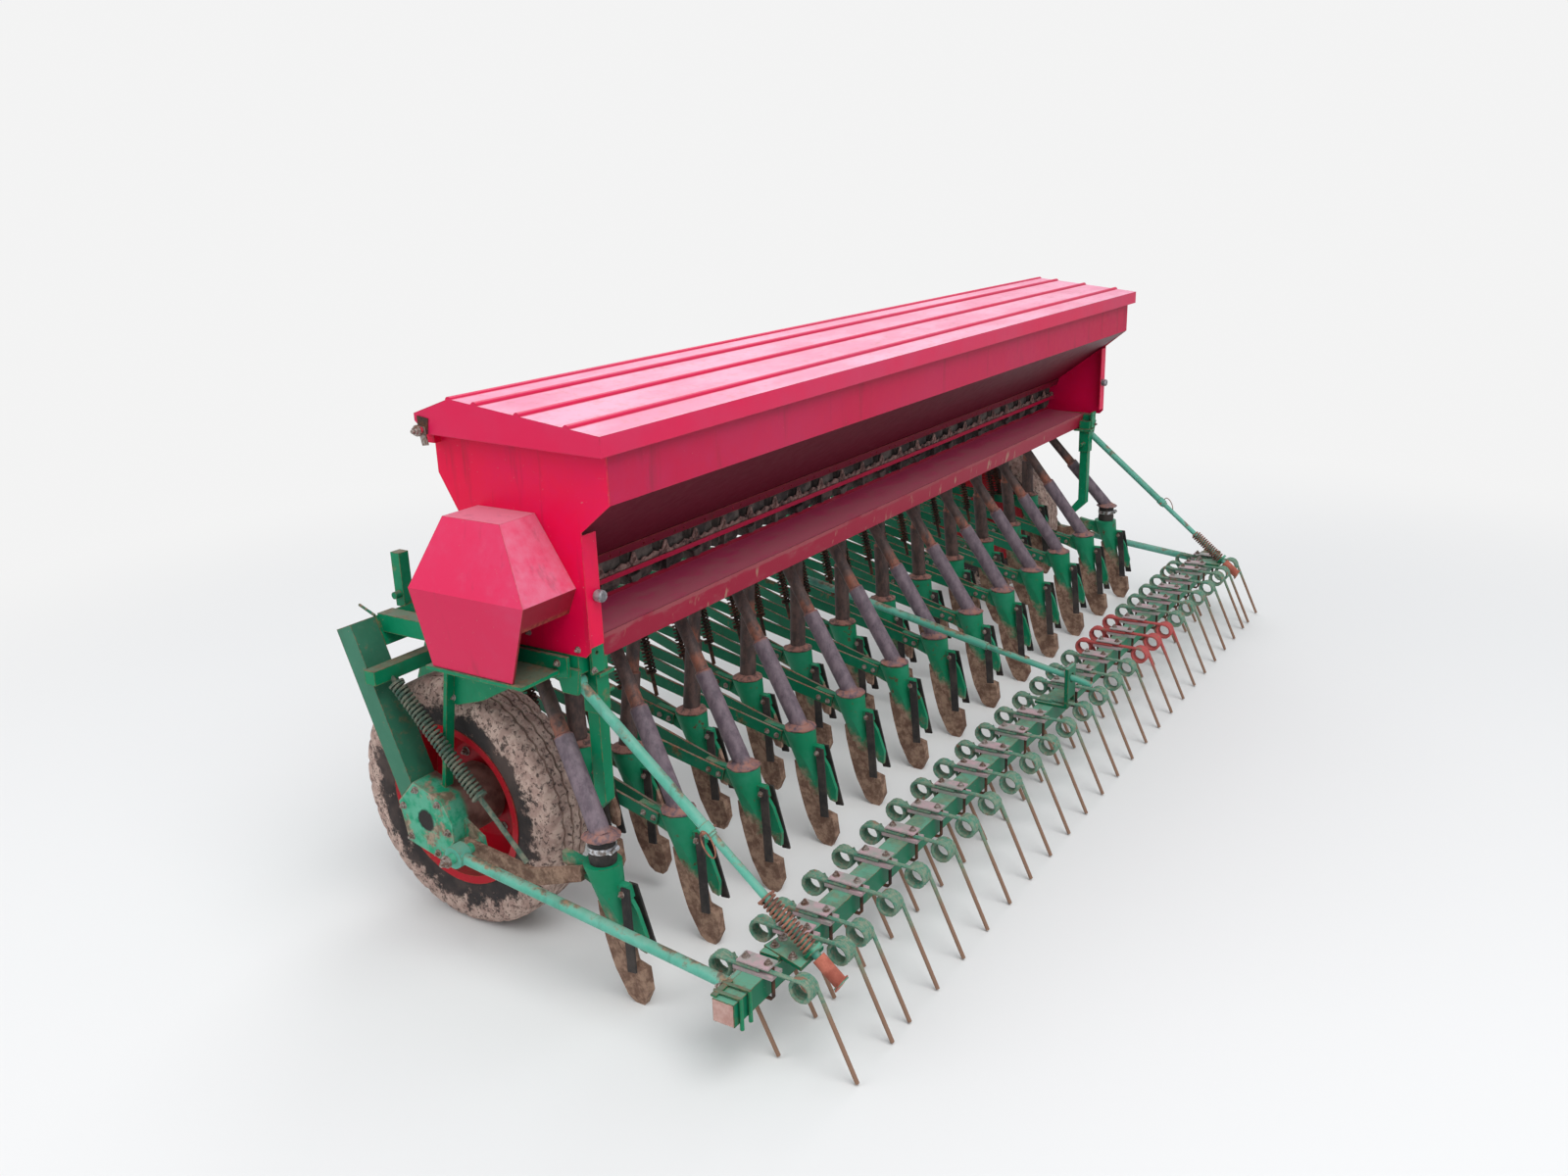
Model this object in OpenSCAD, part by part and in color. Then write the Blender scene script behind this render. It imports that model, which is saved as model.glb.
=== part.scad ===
// Mounted seed drill, 25 rows, with a following tine harrow
// Lengths in millimetres. +X to the machine's right, +Y forwards, +Z up.

/* [Rows] */
// Distance between seed rows
row_pitch = 120; // [110:1:130]
// Height of the rear coulters' top edge
coulter_top_z = 290; // [285:1:300]
// How much higher the front coulters hang
front_lift = 42; // [35:1:50]
// How far the front coulters stand ahead of the rear ones
front_step = 228; // [215:1:240]

/* [Hopper] */
// Thickness of the hopper sheet
sheet = 3; // [2:0.5:4]
// Rear wall, measured from the rear coulters
hopper_back = -53; // [-60:1:-45]
// Front wall, measured from the rear coulters
hopper_front = 368; // [360:1:375]
// Top edge of the hopper walls
hopper_top_z = 1092; // [1085:1:1100]
// Height where the rear wall starts to slope in
knee_z = 988; // [975:1:1000]
// Height of the hopper floor
floor_z = 800; // [790:1:805]
// Half height of the lid's side skirt
lid_skirt = 38; // [30:1:45]
// Height of the lid's ridge
ridge_z = 1162; // [1155:1:1175]
// Width of the tray's upright lip
tray_lip = 50; // [40:1:54]

/* [Wheels] */
// Radius of the tyre
tyre_r = 280; // [270:1:285]
// Width of the tyre
tyre_w = 125; // [115:1:128]
// Radius of the rim's seat
rim_r = 170; // [160:1:180]
// Wheel axle, measured from the rear coulters
axle_y = 444; // [438:1:450]
// Radius of the stub axle
axle_r = 20; // [16:1:24]

/* [Frame] */
// Width of the front beam and the wheel arms
arm_w = 65; // [55:1:65]
// Thickness of the front beam and the wheel arms
arm_t = 48; // [40:1:50]
// Side of the square pressure shaft
shaft_side = 30; // [24:1:32]
// Radius of the coulter pivot shaft
pivot_r = 10; // [8:0.5:12]
// Radius of the lower hitch pins
hitch_r = 14; // [14:0.5:14]
// Distance between the shoulders of the lower hitch pins
hitch_span = 825; // [820:1:830]
// Radius of the top link bore
top_link_r = 12.85; // [12.8:0.05:12.9]

/* [Seed tubes] */
// Radius of the tubes' lower part
tube_r = 20; // [18:0.5:21]
// Radius of the tubes' upper part
tube_top_r = 15; // [13:0.5:16]
// Radius of the tubes' flange
flange_r = 37; // [34:0.5:38]

/* [Harrow] */
// Side of the square harrow beam
beam_side = 45; // [40:1:46]
// Radius of the tine wire
wire_r = 4; // [3.5:0.25:4.5]
// Mean radius of the tine coils
coil_r = 21; // [18:0.5:23]
// Radius of the harrow's lower arms
lower_arm_r = 12; // [11:0.5:14]
// Radius of the spring rods
rod_r = 8; // [7:0.25:9]

/* [Stands] */
// Side of the square parking legs
leg_side = 28; // [24:1:30]
// How far a parking leg drops
leg_travel = 85; // [60:1:88]

/* [Hidden] */
$fn = 48;

// Clearances: a seat, a running fit
seat = 0.3;
run = 0.08;

// The rear coulter row is the working datum, and the part's own origin is the middle of its length
tine_reach = 560;
hitch_nose = 800;
y_mid = (hitch_nose - tine_reach) / 2;

// The width follows the 25 rows: hopper, wheels under its ends, wheel arms and harrow beam
hopper_len = 24 * row_pitch - 62;
end_x = hopper_len / 2;
tyre_out = end_x - 4;
tyre_in = tyre_out - tyre_w;
arm_x = end_x + 71;
outer_x = arm_x - 20;
beam_len = hopper_len + 322;

// Rows: 13 at the rear and 12 at the front, the outer two of those drawn in beside the wheels
half_rear = 6;
rear_x = [for (i = [-half_rear : half_rear]) 2 * i * row_pitch];
front_inner_x = [for (i = [-5 : 4]) (2 * i + 1) * row_pitch];
front_outer_x = tyre_in - 44;
front_x = concat([-front_outer_x], front_inner_x, [front_outer_x]);
outer_top_z = coulter_top_z + 118;
function front_z(x) = abs(x) > 10.5 * row_pitch - 30 ? outer_top_z : coulter_top_z + front_lift;
coulters = concat(
    [for (x = rear_x) [x, 0, coulter_top_z]],
    [for (x = front_x) [x, front_step, front_z(x)]]);
boot_x = 12 * row_pitch;
boot_h = 52;

// Hopper section
throat_back = 200;
throat_front = 250;
front_knee_z = 1012;
leg_back = 18;
leg_notch_z = knee_z - 57;
leg_low_z = 690;
leg_flange = 40;
meter_pitch = row_pitch - 8;
meter_y = 236;
shaft_line = [meter_y + 2, 745];
outlet_z = 665;
tray_z = 702;
tray_front = 212;
tray_back = 75;
lip_z = tray_z - 5;

// Lid section
lid_x = end_x + 32;
lid_back = hopper_back - 17;
lid_back_z = ridge_z - 43;
lid_front = hopper_front + 14;
lid_front_z = ridge_z - 32;
ridge_y = 287;
hinge_y = hopper_front - 6;
hinge_z = hopper_top_z + 8;
hinge_pin_r = 6;

// Wheels and hubs
wheel_x = (tyre_out + tyre_in) / 2;
disc_x = tyre_in + 30;
hub_in = tyre_out + 12;
hub_half = 80;
pin_y = 335;
pin_z = 240;
pin_r = 11;

// Front beam: a tilted section whose rear top corner and lean are set here
beam_y = 601;
beam_z = 685;
lean = 21;
function beam_back(z) = beam_y - (beam_z - z) * tan(lean) - seat;
function beam_face(z) = beam_y + arm_t / cos(lean) - (beam_z - z) * tan(lean) + seat;
hub_sides = [[471, 362], [392, 337], [368, 289], [368, 249], [414, 198], [504, 220], [522, 307]];
hub_mid = [444, 280];
hub_gap = [for (p = hub_sides) hub_mid + (p - hub_mid) * 1.005];

shaft_y = 530;
shaft_z = 590;
pivot_y = 660;
pivot_z = 410;
spring_top = [400, 600];
spring_foot_y = 345;
spring_a = [505, 566];
spring_b = [300, 362];
spring_c = [184, 244];

// Harrow
hb_y = -365;
hb_z = 160;
harrow_arm_x = arm_x + 21;
link_x = end_x - 17;
link_top = [70, 630];
link_eye = [-440, 205];
mid_x = -55;
mid_top = [580, 458];
mid_eye = [-420, 263];
tine_x0 = beam_len / 2 - 70;
tine_count = 26;
tine_shift = 50;

// Stands
shelf_z = 660;
rail_w = 40;
leg_x = end_x - rail_w - 15;
leg_y = 60;
leg_top_z = 668;
leg_foot_z = 330;
sleeve_low_z = 560;
sleeve_top_z = 655;
foot_out = 45;

red = [0.78, 0.05, 0.2];
dark_red = [0.45, 0.05, 0.12];
green = [0.0, 0.52, 0.34];
mint = [0.35, 0.74, 0.6];
rust = [0.55, 0.36, 0.3];
tube_grey = [0.42, 0.36, 0.38];
mud = [0.5, 0.4, 0.3];
rubber = [0.13, 0.12, 0.12];
zinc = [0.68, 0.66, 0.66];

// Extrudes a profile drawn in Y and Z from x0 to x1
module along_x(x0, x1) {
    translate([x0, 0, 0]) rotate([90, 0, 90]) linear_extrude(x1 - x0) children();
}

// A pair, left and right
module both() {
    children();
    mirror([1, 0, 0]) children();
}

module x_rod(x0, x1, p, r) {
    translate([x0, p[0], p[1]]) rotate([0, 90, 0]) cylinder(r = r, h = x1 - x0);
}

// Lays +Z along the line from p to q, points in Y and Z, in the plane at x
module along_line(x, p, q) {
    translate([x, p[0], p[1]]) rotate([atan2(p[0] - q[0], q[1] - p[1]), 0, 0]) children();
}

function span(p, q) = norm(q - p);

module rod(x, p, q, r) {
    along_line(x, p, q) cylinder(r = r, h = span(p, q));
}

// A bar from a to b with its width across and its height upright
module bar(a, b, w, h) {
    d = b - a;
    flat = norm([d.x, d.y]);
    translate(a) rotate([0, -atan2(d.z, flat), atan2(d.y, d.x)])
        translate([0, -w / 2, -h / 2]) cube([norm(d), w, h]);
}

// Folded sheet: a path in Y and Z thickened to its left
function left_of(v) = [-v.y, v.x] / norm(v);
function fold(p, i, t) =
    i == 0 ? p[0] + t * left_of(p[1] - p[0]) :
    i == len(p) - 1 ? p[i] + t * left_of(p[i] - p[i - 1]) :
    let (a = left_of(p[i] - p[i - 1]), b = left_of(p[i + 1] - p[i])) p[i] + t * (a + b) / (1 + a * b);
module folded(path, t, x0, x1) {
    along_x(x0, x1) polygon(concat(path, [for (i = [len(path) - 1 : -1 : 0]) fold(path, i, t)]));
}

// A close-wound coil seen as one ribbed sleeve, from z = 0
module coil(r, wire, turns, pitch) {
    rotate_extrude() polygon(concat([[r - wire, turns * pitch], [r - wire, 0]],
        [for (i = [0 : turns - 1]) each [[r + wire * 0.3, i * pitch], [r + wire, (i + 0.3) * pitch],
            [r + wire, (i + 0.7) * pitch]]],
        [[r + wire * 0.3, turns * pitch]]));
}

// Hopper walls: a rear sheet and a front sheet that also makes the floor
module rear_sheet() color(red)
    folded([[hopper_back - 8, hopper_top_z], [hopper_back, hopper_top_z], [hopper_back, knee_z],
        [throat_back, floor_z]], sheet, -end_x + sheet + seat, end_x - sheet - seat);

module front_sheet() color(red)
    folded([[throat_back + sheet, floor_z], [throat_front, floor_z], [hopper_front, front_knee_z],
        [hopper_front, hopper_top_z]], sheet, -end_x + sheet + seat, end_x - sheet - seat);

module end_plate() {
    difference() {
        along_x(-end_x, -end_x + sheet) polygon([
            [hopper_back, hopper_top_z], [hopper_back, knee_z], [leg_back, leg_notch_z],
            [leg_back, leg_low_z + 12], [leg_back + 12, leg_low_z], [305, leg_low_z], [305, 905],
            [hopper_front, front_knee_z], [hopper_front, hopper_top_z]]);
        x_rod(-end_x - 1, -end_x + 4, shaft_line, 12 + seat);
    }
    translate([-end_x, leg_back, leg_low_z + 19]) cube([leg_flange, sheet, leg_notch_z - leg_low_z - 24]);
    // knob of the shutter slide
    translate([-end_x + leg_flange - 11, leg_back + 1, 806]) rotate([90, 0, 0]) cylinder(r = 10, h = 17);
    // ear and bolt of the lid hinge
    along_x(-end_x - 16, -end_x) translate([hinge_y, hinge_z - 12]) square([20, 32], center = true);
    x_rod(-lid_x - 14, -end_x, [hinge_y, hinge_z], hinge_pin_r);
}

module hopper_ends() color(red) both() end_plate();

module agitator() color(zinc) {
    y = (throat_back + throat_front) / 2 + 4;
    z = floor_z + 30;
    x_rod(-end_x + sheet + seat, end_x - sheet - seat, [y, z], 8);
    for (i = [-12 : 12]) translate([i * meter_pitch, y, z]) rotate([i % 2 == 0 ? 20 : -20, 0, 0])
        translate([0, 0, -20]) cylinder(r = 3, h = 40, $fn = 16);
}

// Seed cups under the hopper floor with their outlets
module metering_units() color(zinc)
    for (i = [-12 : 12]) translate([i * meter_pitch, 0, 0]) difference() {
        union() {
            along_x(-42, 42) polygon([[215, floor_z - seat], [252, floor_z - seat], [262, 760], [262, 716],
                [254, 704], [226, 704], [218, 716], [215, 738]]);
            translate([0, meter_y, outlet_z]) cylinder(r = tube_top_r + 3, h = 45);
            // setting lever, narrow and broad by turns
            translate([-30, 230, 0]) rotate([90, 0, 0]) linear_extrude(25) polygon(i % 2 == 0 ?
                [[-6, 712], [7, 712], [5, 731], [0, 735], [-4, 731]] :
                [[-12, 713], [4, 711], [18, 716], [17, 731], [2, 727], [-17, 726]]);
        }
        x_rod(-50, 50, shaft_line, 12 + run);
        translate([0, meter_y, outlet_z - 1]) cylinder(r = tube_top_r - 2, h = 30);
    }

module feed_shaft() color(zinc) {
    x_rod(-end_x - 60, end_x + 14, shaft_line, 12);
    for (i = [-12 : 12]) x_rod(i * meter_pitch + 44, i * meter_pitch + 60, shaft_line, 17);
}

// Sliding shutters with torn-looking lips and a bent-up tab, one to a cup
shutter_z = 742;
module shutters() color(dark_red)
    for (i = [-12 : 12]) translate([i * meter_pitch, 209, shutter_z]) {
        half = meter_pitch / 2 - 0.5;
        rotate([90, 0, 0]) linear_extrude(3) polygon([[-half, 0], [half, 0], [half, 15], [half - 16, 20],
            [16, 12], [4, 17], [-10, 11], [-20, 15], [-27, 34], [-34, 36], [-44, 17], [-half, 18]]);
        rotate([90, 0, 0]) linear_extrude(7) polygon([[-42, 8], [-20, 8], [-30, 25]]);
    }

// Strips over and under the shutters, the upper one pierced by pairs of slots
strip_top = [185.5, 806.5];
strip_low = [192.5, 787];
strip_b = [201, 748];
module meter_strips() color(red) {
    difference() {
        folded([strip_top, strip_low], 3, -end_x + 5, end_x - 5);
        for (i = [-12 : 12]) for (s = [-17, 17]) translate([i * meter_pitch + s - 3, 170, 793]) cube([6, 40, 5]);
    }
    folded([strip_b, [strip_b[0], strip_b[1] - 11], [strip_b[0] + 12, strip_b[1] - 11]], 3, -end_x + 5, end_x - 5);
}

module tray() color(red)
    folded([[tray_front, tray_z + 8], [tray_front, tray_z], [tray_back + 12, lip_z - 4], [tray_back, lip_z],
        [tray_back + 8, lip_z - tray_lip]], 2.5, -end_x + rail_w + 1.3, end_x - rail_w - 1.3);

// Drive cover: a six-sided sheet box creased across its middle
cover_z = 824;
cover_low = shelf_z + 1.5;
cover_high = 957;
cover_deep = 140;
module cover_form(inset) {
    low = inset > 0 ? cover_low - 20 : cover_low;
    intersection() {
        along_x(-end_x - 200, -end_x - seat) polygon([
            [40 + inset, cover_z], [112 + inset, low], [318 - inset, low], [330 - inset, cover_z],
            [270 - inset, cover_high - inset], [126 + inset, cover_high - inset]]);
        translate([0, 400, 0]) rotate([90, 0, 0]) linear_extrude(400) polygon([
            [-end_x + 1, cover_z - 200], [-end_x + 1, cover_z + 200], [-end_x - 68 + inset, cover_z + 200],
            [-end_x - cover_deep + inset, cover_z], [-end_x - 106 + inset, cover_z - 200]]);
    }
}
module gear_cover() color(red) difference() {
    cover_form(0);
    translate([2, 0, 0]) cover_form(2.5);
    translate([-end_x - 16, 0, cover_low - 30]) cube([40, 400, leg_low_z + 31 - cover_low]);
}

// Lid: one folded sheet with rolled ribs and two end caps
module lid() color(red) difference() {
    union() {
        folded([[lid_back, lid_back_z - lid_skirt], [lid_back, lid_back_z], [ridge_y, ridge_z],
            [lid_front, lid_front_z], [lid_front, lid_front_z - 14]], -2.5, -lid_x, lid_x);
        both() along_x(-lid_x, -lid_x + 3) polygon([[lid_back, lid_back_z - lid_skirt],
            [lid_back, lid_back_z], [ridge_y, ridge_z], [lid_front, lid_front_z],
            [lid_front, lid_front_z - 14], [lid_front - 28, lid_front_z - lid_skirt]]);
        for (s = [0.18, 0.47, 0.79]) {
            y = ridge_y + s * (lid_back - ridge_y);
            z = ridge_z + s * (lid_back_z - ridge_z);
            x_rod(-lid_x, lid_x, [y, z - 1], 7);
        }
        x_rod(-lid_x, lid_x, [ridge_y, ridge_z - 3], 7);
    }
    both() x_rod(-lid_x - 20, -lid_x + 20, [hinge_y, hinge_z], hinge_pin_r + run);
}

// Front beam section and arms share one lean
module leaning() {
    translate([0, beam_y, beam_z]) rotate([-lean, 0, 0]) children();
}
arm_drop = 372;
hanger_out = tyre_in - 20;
hanger_x = [-hanger_out, -6.5 * row_pitch, -2.5 * row_pitch, 2.5 * row_pitch, 6.5 * row_pitch, hanger_out];
module front_beam() color(green) {
    leaning() translate([-arm_x + arm_w, 0, -arm_w]) difference() {
        cube([2 * (arm_x - arm_w), arm_t, arm_w]);
        translate([-1, 5, 5]) cube([2 * arm_x, arm_t - 10, arm_w - 10]);
    }
    // hangers of the coulter pivot shaft
    for (x = hanger_x) difference() {
        along_x(x - 4, x + 4) polygon([[585, 624], [620, 611], [690, 440], [690, 385], [630, 385], [630, 440]]);
        x_rod(x - 6, x + 6, [pivot_y, pivot_z], pivot_r + run);
    }
    // posts of the row marker
    both() {
        translate([-end_x + 84, 612, 676]) cube([26, 26, 120]);
        x_rod(-end_x + 69, -end_x + 119, [625, 704], 8);
    }
}

module wheel_arms() color(green) both() difference() {
    leaning() translate([-arm_x, 0, -arm_drop - 20]) difference() {
        cube([arm_w - seat, arm_t, arm_drop + 20]);
        translate([5, 5, 90]) cube([arm_w - 10, arm_t - 10, arm_drop - 75]);
    }
    along_x(-arm_x - 1, -hub_in + 4) polygon(hub_gap);
}

// Side frames: rail under the hopper end, gusset over the tyre and post down to the hub
rail_low = leg_low_z - 39;
sleeve_side = leg_side + 8;
module side_frame() {
    // rail along the end plate to the front beam
    along_x(-end_x, -end_x + rail_w) polygon([[leg_back + 32, rail_low], [leg_back + 32, leg_low_z - seat],
        [beam_back(684), leg_low_z - seat], [beam_back(684), 684],
        [beam_back(rail_low), rail_low]]);
    // gusset beside the tyre with the shelf that the drive cover stands on
    along_x(-end_x - 14, -end_x - 6) polygon([[66, leg_low_z - 2], [66, shelf_z - 12], [120, shelf_z - 22], [222, 597],
        [300, 556], [372, 533], [396, 533], [396, leg_low_z - 2]]);
    along_x(-end_x - 10, -end_x + 4) polygon([[73, leg_low_z - 5], [73, rail_low + 4], [392, rail_low + 4],
        [392, leg_low_z - 5]]);
    translate([-end_x - 115, 88, shelf_z - 8]) cube([105, 248, 8]);
    // post to the hub box
    difference() {
        bar([-end_x - 22, 372, 640], [-end_x - 22, 424, 336], 22, 10);
        along_x(-arm_x - 1, -end_x + 4) polygon(hub_gap);
    }
    // stand sleeve with its clamp bolt, foot plate and pierced strap
    difference() {
        union() {
            translate([-leg_x - sleeve_side / 2, leg_y - sleeve_side / 2, sleeve_low_z])
                cube([sleeve_side, sleeve_side, rail_low + 20 - sleeve_low_z]);
            translate([-leg_x - sleeve_side / 2 + 2, leg_y - 26, rail_low - 15]) cube([sleeve_side + 7, 62, 7]);
            translate([-leg_x + 12, leg_y, sleeve_low_z + 30]) rotate([0, 90, 0]) cylinder(r = 6, h = 34);
            translate([-leg_x - sleeve_side / 2 - 14, leg_y - sleeve_side / 2 - 5, rail_low - 5]) cube([36, 6, 56]);
        }
        translate([-leg_x - leg_side / 2 - run, leg_y - leg_side / 2 - run, sleeve_low_z - 10])
            cube([leg_side + 2 * run, leg_side + 2 * run, 300]);
        translate([-leg_x - sleeve_side / 2 + 2, leg_y, rail_low + 36]) rotate([90, 0, 0]) cylinder(r = 4, h = 60);
    }
    // pivot ear of the harrow's upper link
    along_x(-link_x - 24, -link_x - 16.5) polygon([[44, rail_low + 13], [104, rail_low + 13],
        [90, link_top[1] - 18], [52, link_top[1] - 18]]);
    x_rod(-link_x - 23, -link_x + 22, link_top, 8);
}
module side_frames() color(green) both() side_frame();

// Hub boxes: six-sided drive housings with the stub axle and the harrow pin
module hub_box() {
    along_x(-arm_x, -hub_in) polygon(hub_sides);
    x_rod(-hub_in - 1, -disc_x - 12, [axle_y, tyre_r], 70);
    x_rod(-hub_in - 1, -disc_x + 30, [axle_y, tyre_r], axle_r);
    x_rod(-disc_x + 30, -disc_x + 44, [axle_y, tyre_r], axle_r + 10);
    // lug and pin for the harrow arm and the outer coulter arm
    along_x(-outer_x + 14, -outer_x + 22) polygon([[372, 290], [372, 245], [pin_y + 14, pin_z - 20], [pin_y - 20, pin_z - 10],
        [pin_y - 16, pin_z + 18]]);
    x_rod(-harrow_arm_x - 31, -outer_x + 22, [pin_y, pin_z], pin_r);
}
module hub_boxes() color(green) both() hub_box();

// Three-point headstock on the front beam
mast_x = 60;
top_link_z = 1010;
low_link_z = 470;
module headstock() color(green) {
    // plate along the beam's face
    leaning() translate([-430, arm_t + seat, -62]) cube([860, 10, 58]);
    both() {
        // lower hitch plates with their pins
        along_x(-hitch_span / 2 + 8, -hitch_span / 2 + 20) polygon([[beam_face(660) + 4, 660], [690, 650],
            [hitch_nose - 20, 510], [hitch_nose, 450], [740, 430], [beam_face(614) + 4, 614]]);
        x_rod(-hitch_span / 2 - 60, -hitch_span / 2 + 14, [760, low_link_z], hitch_r);
        x_rod(-hitch_span / 2, -hitch_span / 2 + 14, [760, low_link_z], hitch_r + 12);
        // stays back to the hopper front
        bar([-mast_x - 8, 655, 1010], [-mast_x - 8, hopper_front + 1, 1020], 12, 30);
    }
    // mast legs, the ears of the top link and the tie between them
    difference() {
        union() {
            both() {
                bar([-330, 660, 664], [-44, 700, 1000], 24, 14);
                along_x(-mast_x + 14, -mast_x + 26) polygon([[640, 960], [735, 985], [735, 1035], [660, 1035]]);
            }
            translate([-mast_x - 14, 640, 960]) cube([2 * mast_x + 28, 12, 70]);
        }
        x_rod(-mast_x - 20, mast_x + 20, [700, top_link_z], top_link_r);
        // the legs end flush with the ears, and there is room for the ball between them
        both() translate([-mast_x - 26, 600, 990]) cube([40.1, 200, 60]);
        translate([-mast_x + 26, 655, 900]) cube([2 * mast_x - 52, 120, 200]);
    }
}

module pivot_shaft() color(zinc) x_rod(-tyre_in + 10, tyre_in - 10, [pivot_y, pivot_z], pivot_r);

// Square shaft whose levers load the coulter springs
sprung = [for (c = coulters) if (abs(c.x) < boot_x - 1) c];
module pressure_shaft() color(green) {
    translate([-arm_x - 25, shaft_y - shaft_side / 2, shaft_z - shaft_side / 2])
        cube([2 * arm_x + 50, shaft_side, shaft_side]);
    for (c = sprung) {
        x = arm_at(c, spring_foot_y).x;
        bar([x, shaft_y - shaft_side / 2 + 1, shaft_z], [x, spring_top[0] - 12, spring_top[1] + 4], 8, 22);
    }
}

// Each spring hangs on its lever and its rod stands on the coulter's arm, and a long one loads each outer arm
spring_rise = 4;
module pressure_springs() color(rust) {
    for (c = sprung) {
        head = [spring_top[0] - 2, spring_top[1] - 10];
        arm = arm_at(c, spring_foot_y);
        foot = [spring_foot_y, arm.z + arm_bar[1] / 2 + spring_rise];
        along_line(arm.x, head, foot) {
            coil(11, 2.5, 16, 9.3);
            cylinder(r = 12, h = 4);
            translate([0, 0, 16 * 9.3 - 4]) cylinder(r = 12, h = 4);
            cylinder(r = 5, h = span(head, foot));
        }
    }
    both() {
        along_line(-outer_x, spring_a, spring_b) {
            coil(13, 3, 30, span(spring_a, spring_b) / 30);
            cylinder(r = 14, h = 6);
            translate([0, 0, span(spring_a, spring_b) - 6]) cylinder(r = 14, h = 6);
        }
        rod(-outer_x, spring_b + 0.02 * (spring_a - spring_b), spring_c, 6);
    }
}

// One coulter: a funnel whose flanks draw in to a blade that leans back, with lugs ahead and behind
coulter_lean = 14;
arm_lug = 8.2;
strip_lug = 9;
flanks = [[40, 0], [39, -16], [16, -112], [11, -206]];
module coulter_form(gap) {
    intersection() {
        translate([0, -42, -175]) rotate([-coulter_lean, 0, 0]) rotate(30) rotate_extrude() polygon([[0, -30 - gap],
            [19 + gap, -30 - gap], [21 + gap, 60], [38 + gap, 178 + gap], [38 + gap, 215], [0, 215]]);
        translate([0, 120, 0]) rotate([90, 0, 0]) linear_extrude(240) polygon(concat(
            [for (p = flanks) [p[0] + gap, p[1]]], [[11 + gap, -240], [-11 - gap, -240]],
            [for (i = [3 : -1 : 0]) [-flanks[i][0] - gap, flanks[i][1]]]));
    }
}
module coulter_body() {
    difference() {
        coulter_form(0);
        translate([-60, -90, -seat]) cube([120, 180, 60]);
    }
    along_x(-arm_lug, arm_lug) polygon([[10, -10], [62, -8], [98, -1], [98, -26], [60, -42], [10, -60]]);
    along_x(-strip_lug, strip_lug) polygon([[-28, -36], [-60, -36], [-66, -62], [-34, -70]]);
    along_x(-5, 5) polygon([[-40, -58], [-60, -56], [-78, -84], [-98, -140], [-96, -172], [-80, -168], [-56, -120]]);
}
module coulter_bodies() color(green) for (c = coulters) translate(c) coulter_body();

// Digging edge: a cast shoe on the blade's front that runs down to a point
module coulter_shoe() difference() {
    intersection() {
        along_x(-20, 20) polygon([[10, -82], [4, -120], [-6, -166], [-22, -224], [-46, -278], [-62, -290], [-84, -290],
            [-98, -258], [-90, -212], [-64, -206], [-36, -164], [-20, -120], [-6, -82]]);
        translate([0, 120, 0]) rotate([90, 0, 0]) linear_extrude(240) polygon([[13, -60], [16, -112], [14, -206],
            [7, -300], [-7, -300], [-14, -206], [-16, -112], [-13, -60]]);
    }
    coulter_form(seat);
}
module coulter_shoes() color(mud) for (c = coulters) translate(c) coulter_shoe();

// Strips that drag the soil shut, spreading downwards from their bolt
module coulter_strips() color(rubber)
    for (c = coulters) translate(c) both() translate([strip_lug + seat, 0, -38])
        rotate([0, abs(c.x) == front_outer_x ? -3 : -8.5, 0])
            along_x(0.2, 5) polygon([[-50, 0], [-70, 0], [-94, -162], [-74, -164]]);

// A pair of flat bars from a coulter to the pivot shaft: its root, and its shift and half spread at the shaft
arm_bar = [6, 28];
arm_root = [12, 46, -28];
function arm_shift(c) = c.y < 1 && abs(c.x) > 9 * row_pitch ? -sign(c.x) * 24 : 0;
function arm_half(c) = abs(c.x) > 10 * row_pitch ? 12 : c.y < 1 && abs(c.x) > 9 * row_pitch ? 30 : 44;
function arm_start(c, s) = [c.x + s * arm_root.x, c.y + arm_root.y, c.z + arm_root.z];
function arm_end(c, s) = [c.x + arm_shift(c) + s * arm_half(c), pivot_y, pivot_z];
function arm_at(c, y) = let (a = arm_start(c, 1), b = arm_end(c, 1)) a + (b - a) * (y - a.y) / (b.y - a.y);
module coulter_arm(c) {
    for (s = [-1, 1]) difference() {
        end = arm_end(c, s);
        union() {
            bar(arm_start(c, s), end, arm_bar[0], arm_bar[1]);
            x_rod(end.x - 3, end.x + 3, [pivot_y, pivot_z], 20);
        }
        x_rod(end.x - 9, end.x + 9, [pivot_y, pivot_z], pivot_r + 0.5);
    }
}
module arms_rear() color(green)
    for (c = coulters) if (c.y < 1 && abs(c.x) < boot_x - 1) coulter_arm(c);
module arms_front() color(green)
    for (c = coulters) if (c.y > 1) coulter_arm(c);

// The outer coulters hang on cranked bars that run past the wheels
module outer_arms() color(rust) both() {
    x = outer_x;
    difference() {
        union() {
            along_x(-x - 5, -x + 5) polygon([[pin_y + 18, pin_z + 16], [pin_y + 18, pin_z - 18], [170, 198],
                [38, 246], [38, 278], [170, 236]]);
            x_rod(-x - 5, -boot_x - arm_lug - seat, [44, 262], 8);
        }
        x_rod(-x - 8, -x + 8, [pin_y, pin_z], pin_r + run);
    }
}

// Lays +Z along the line from a to b
module aimed(a, b) {
    d = b - a;
    translate(a) rotate([0, acos(d.z / norm(d)), atan2(d.y, d.x)]) children();
}

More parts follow.
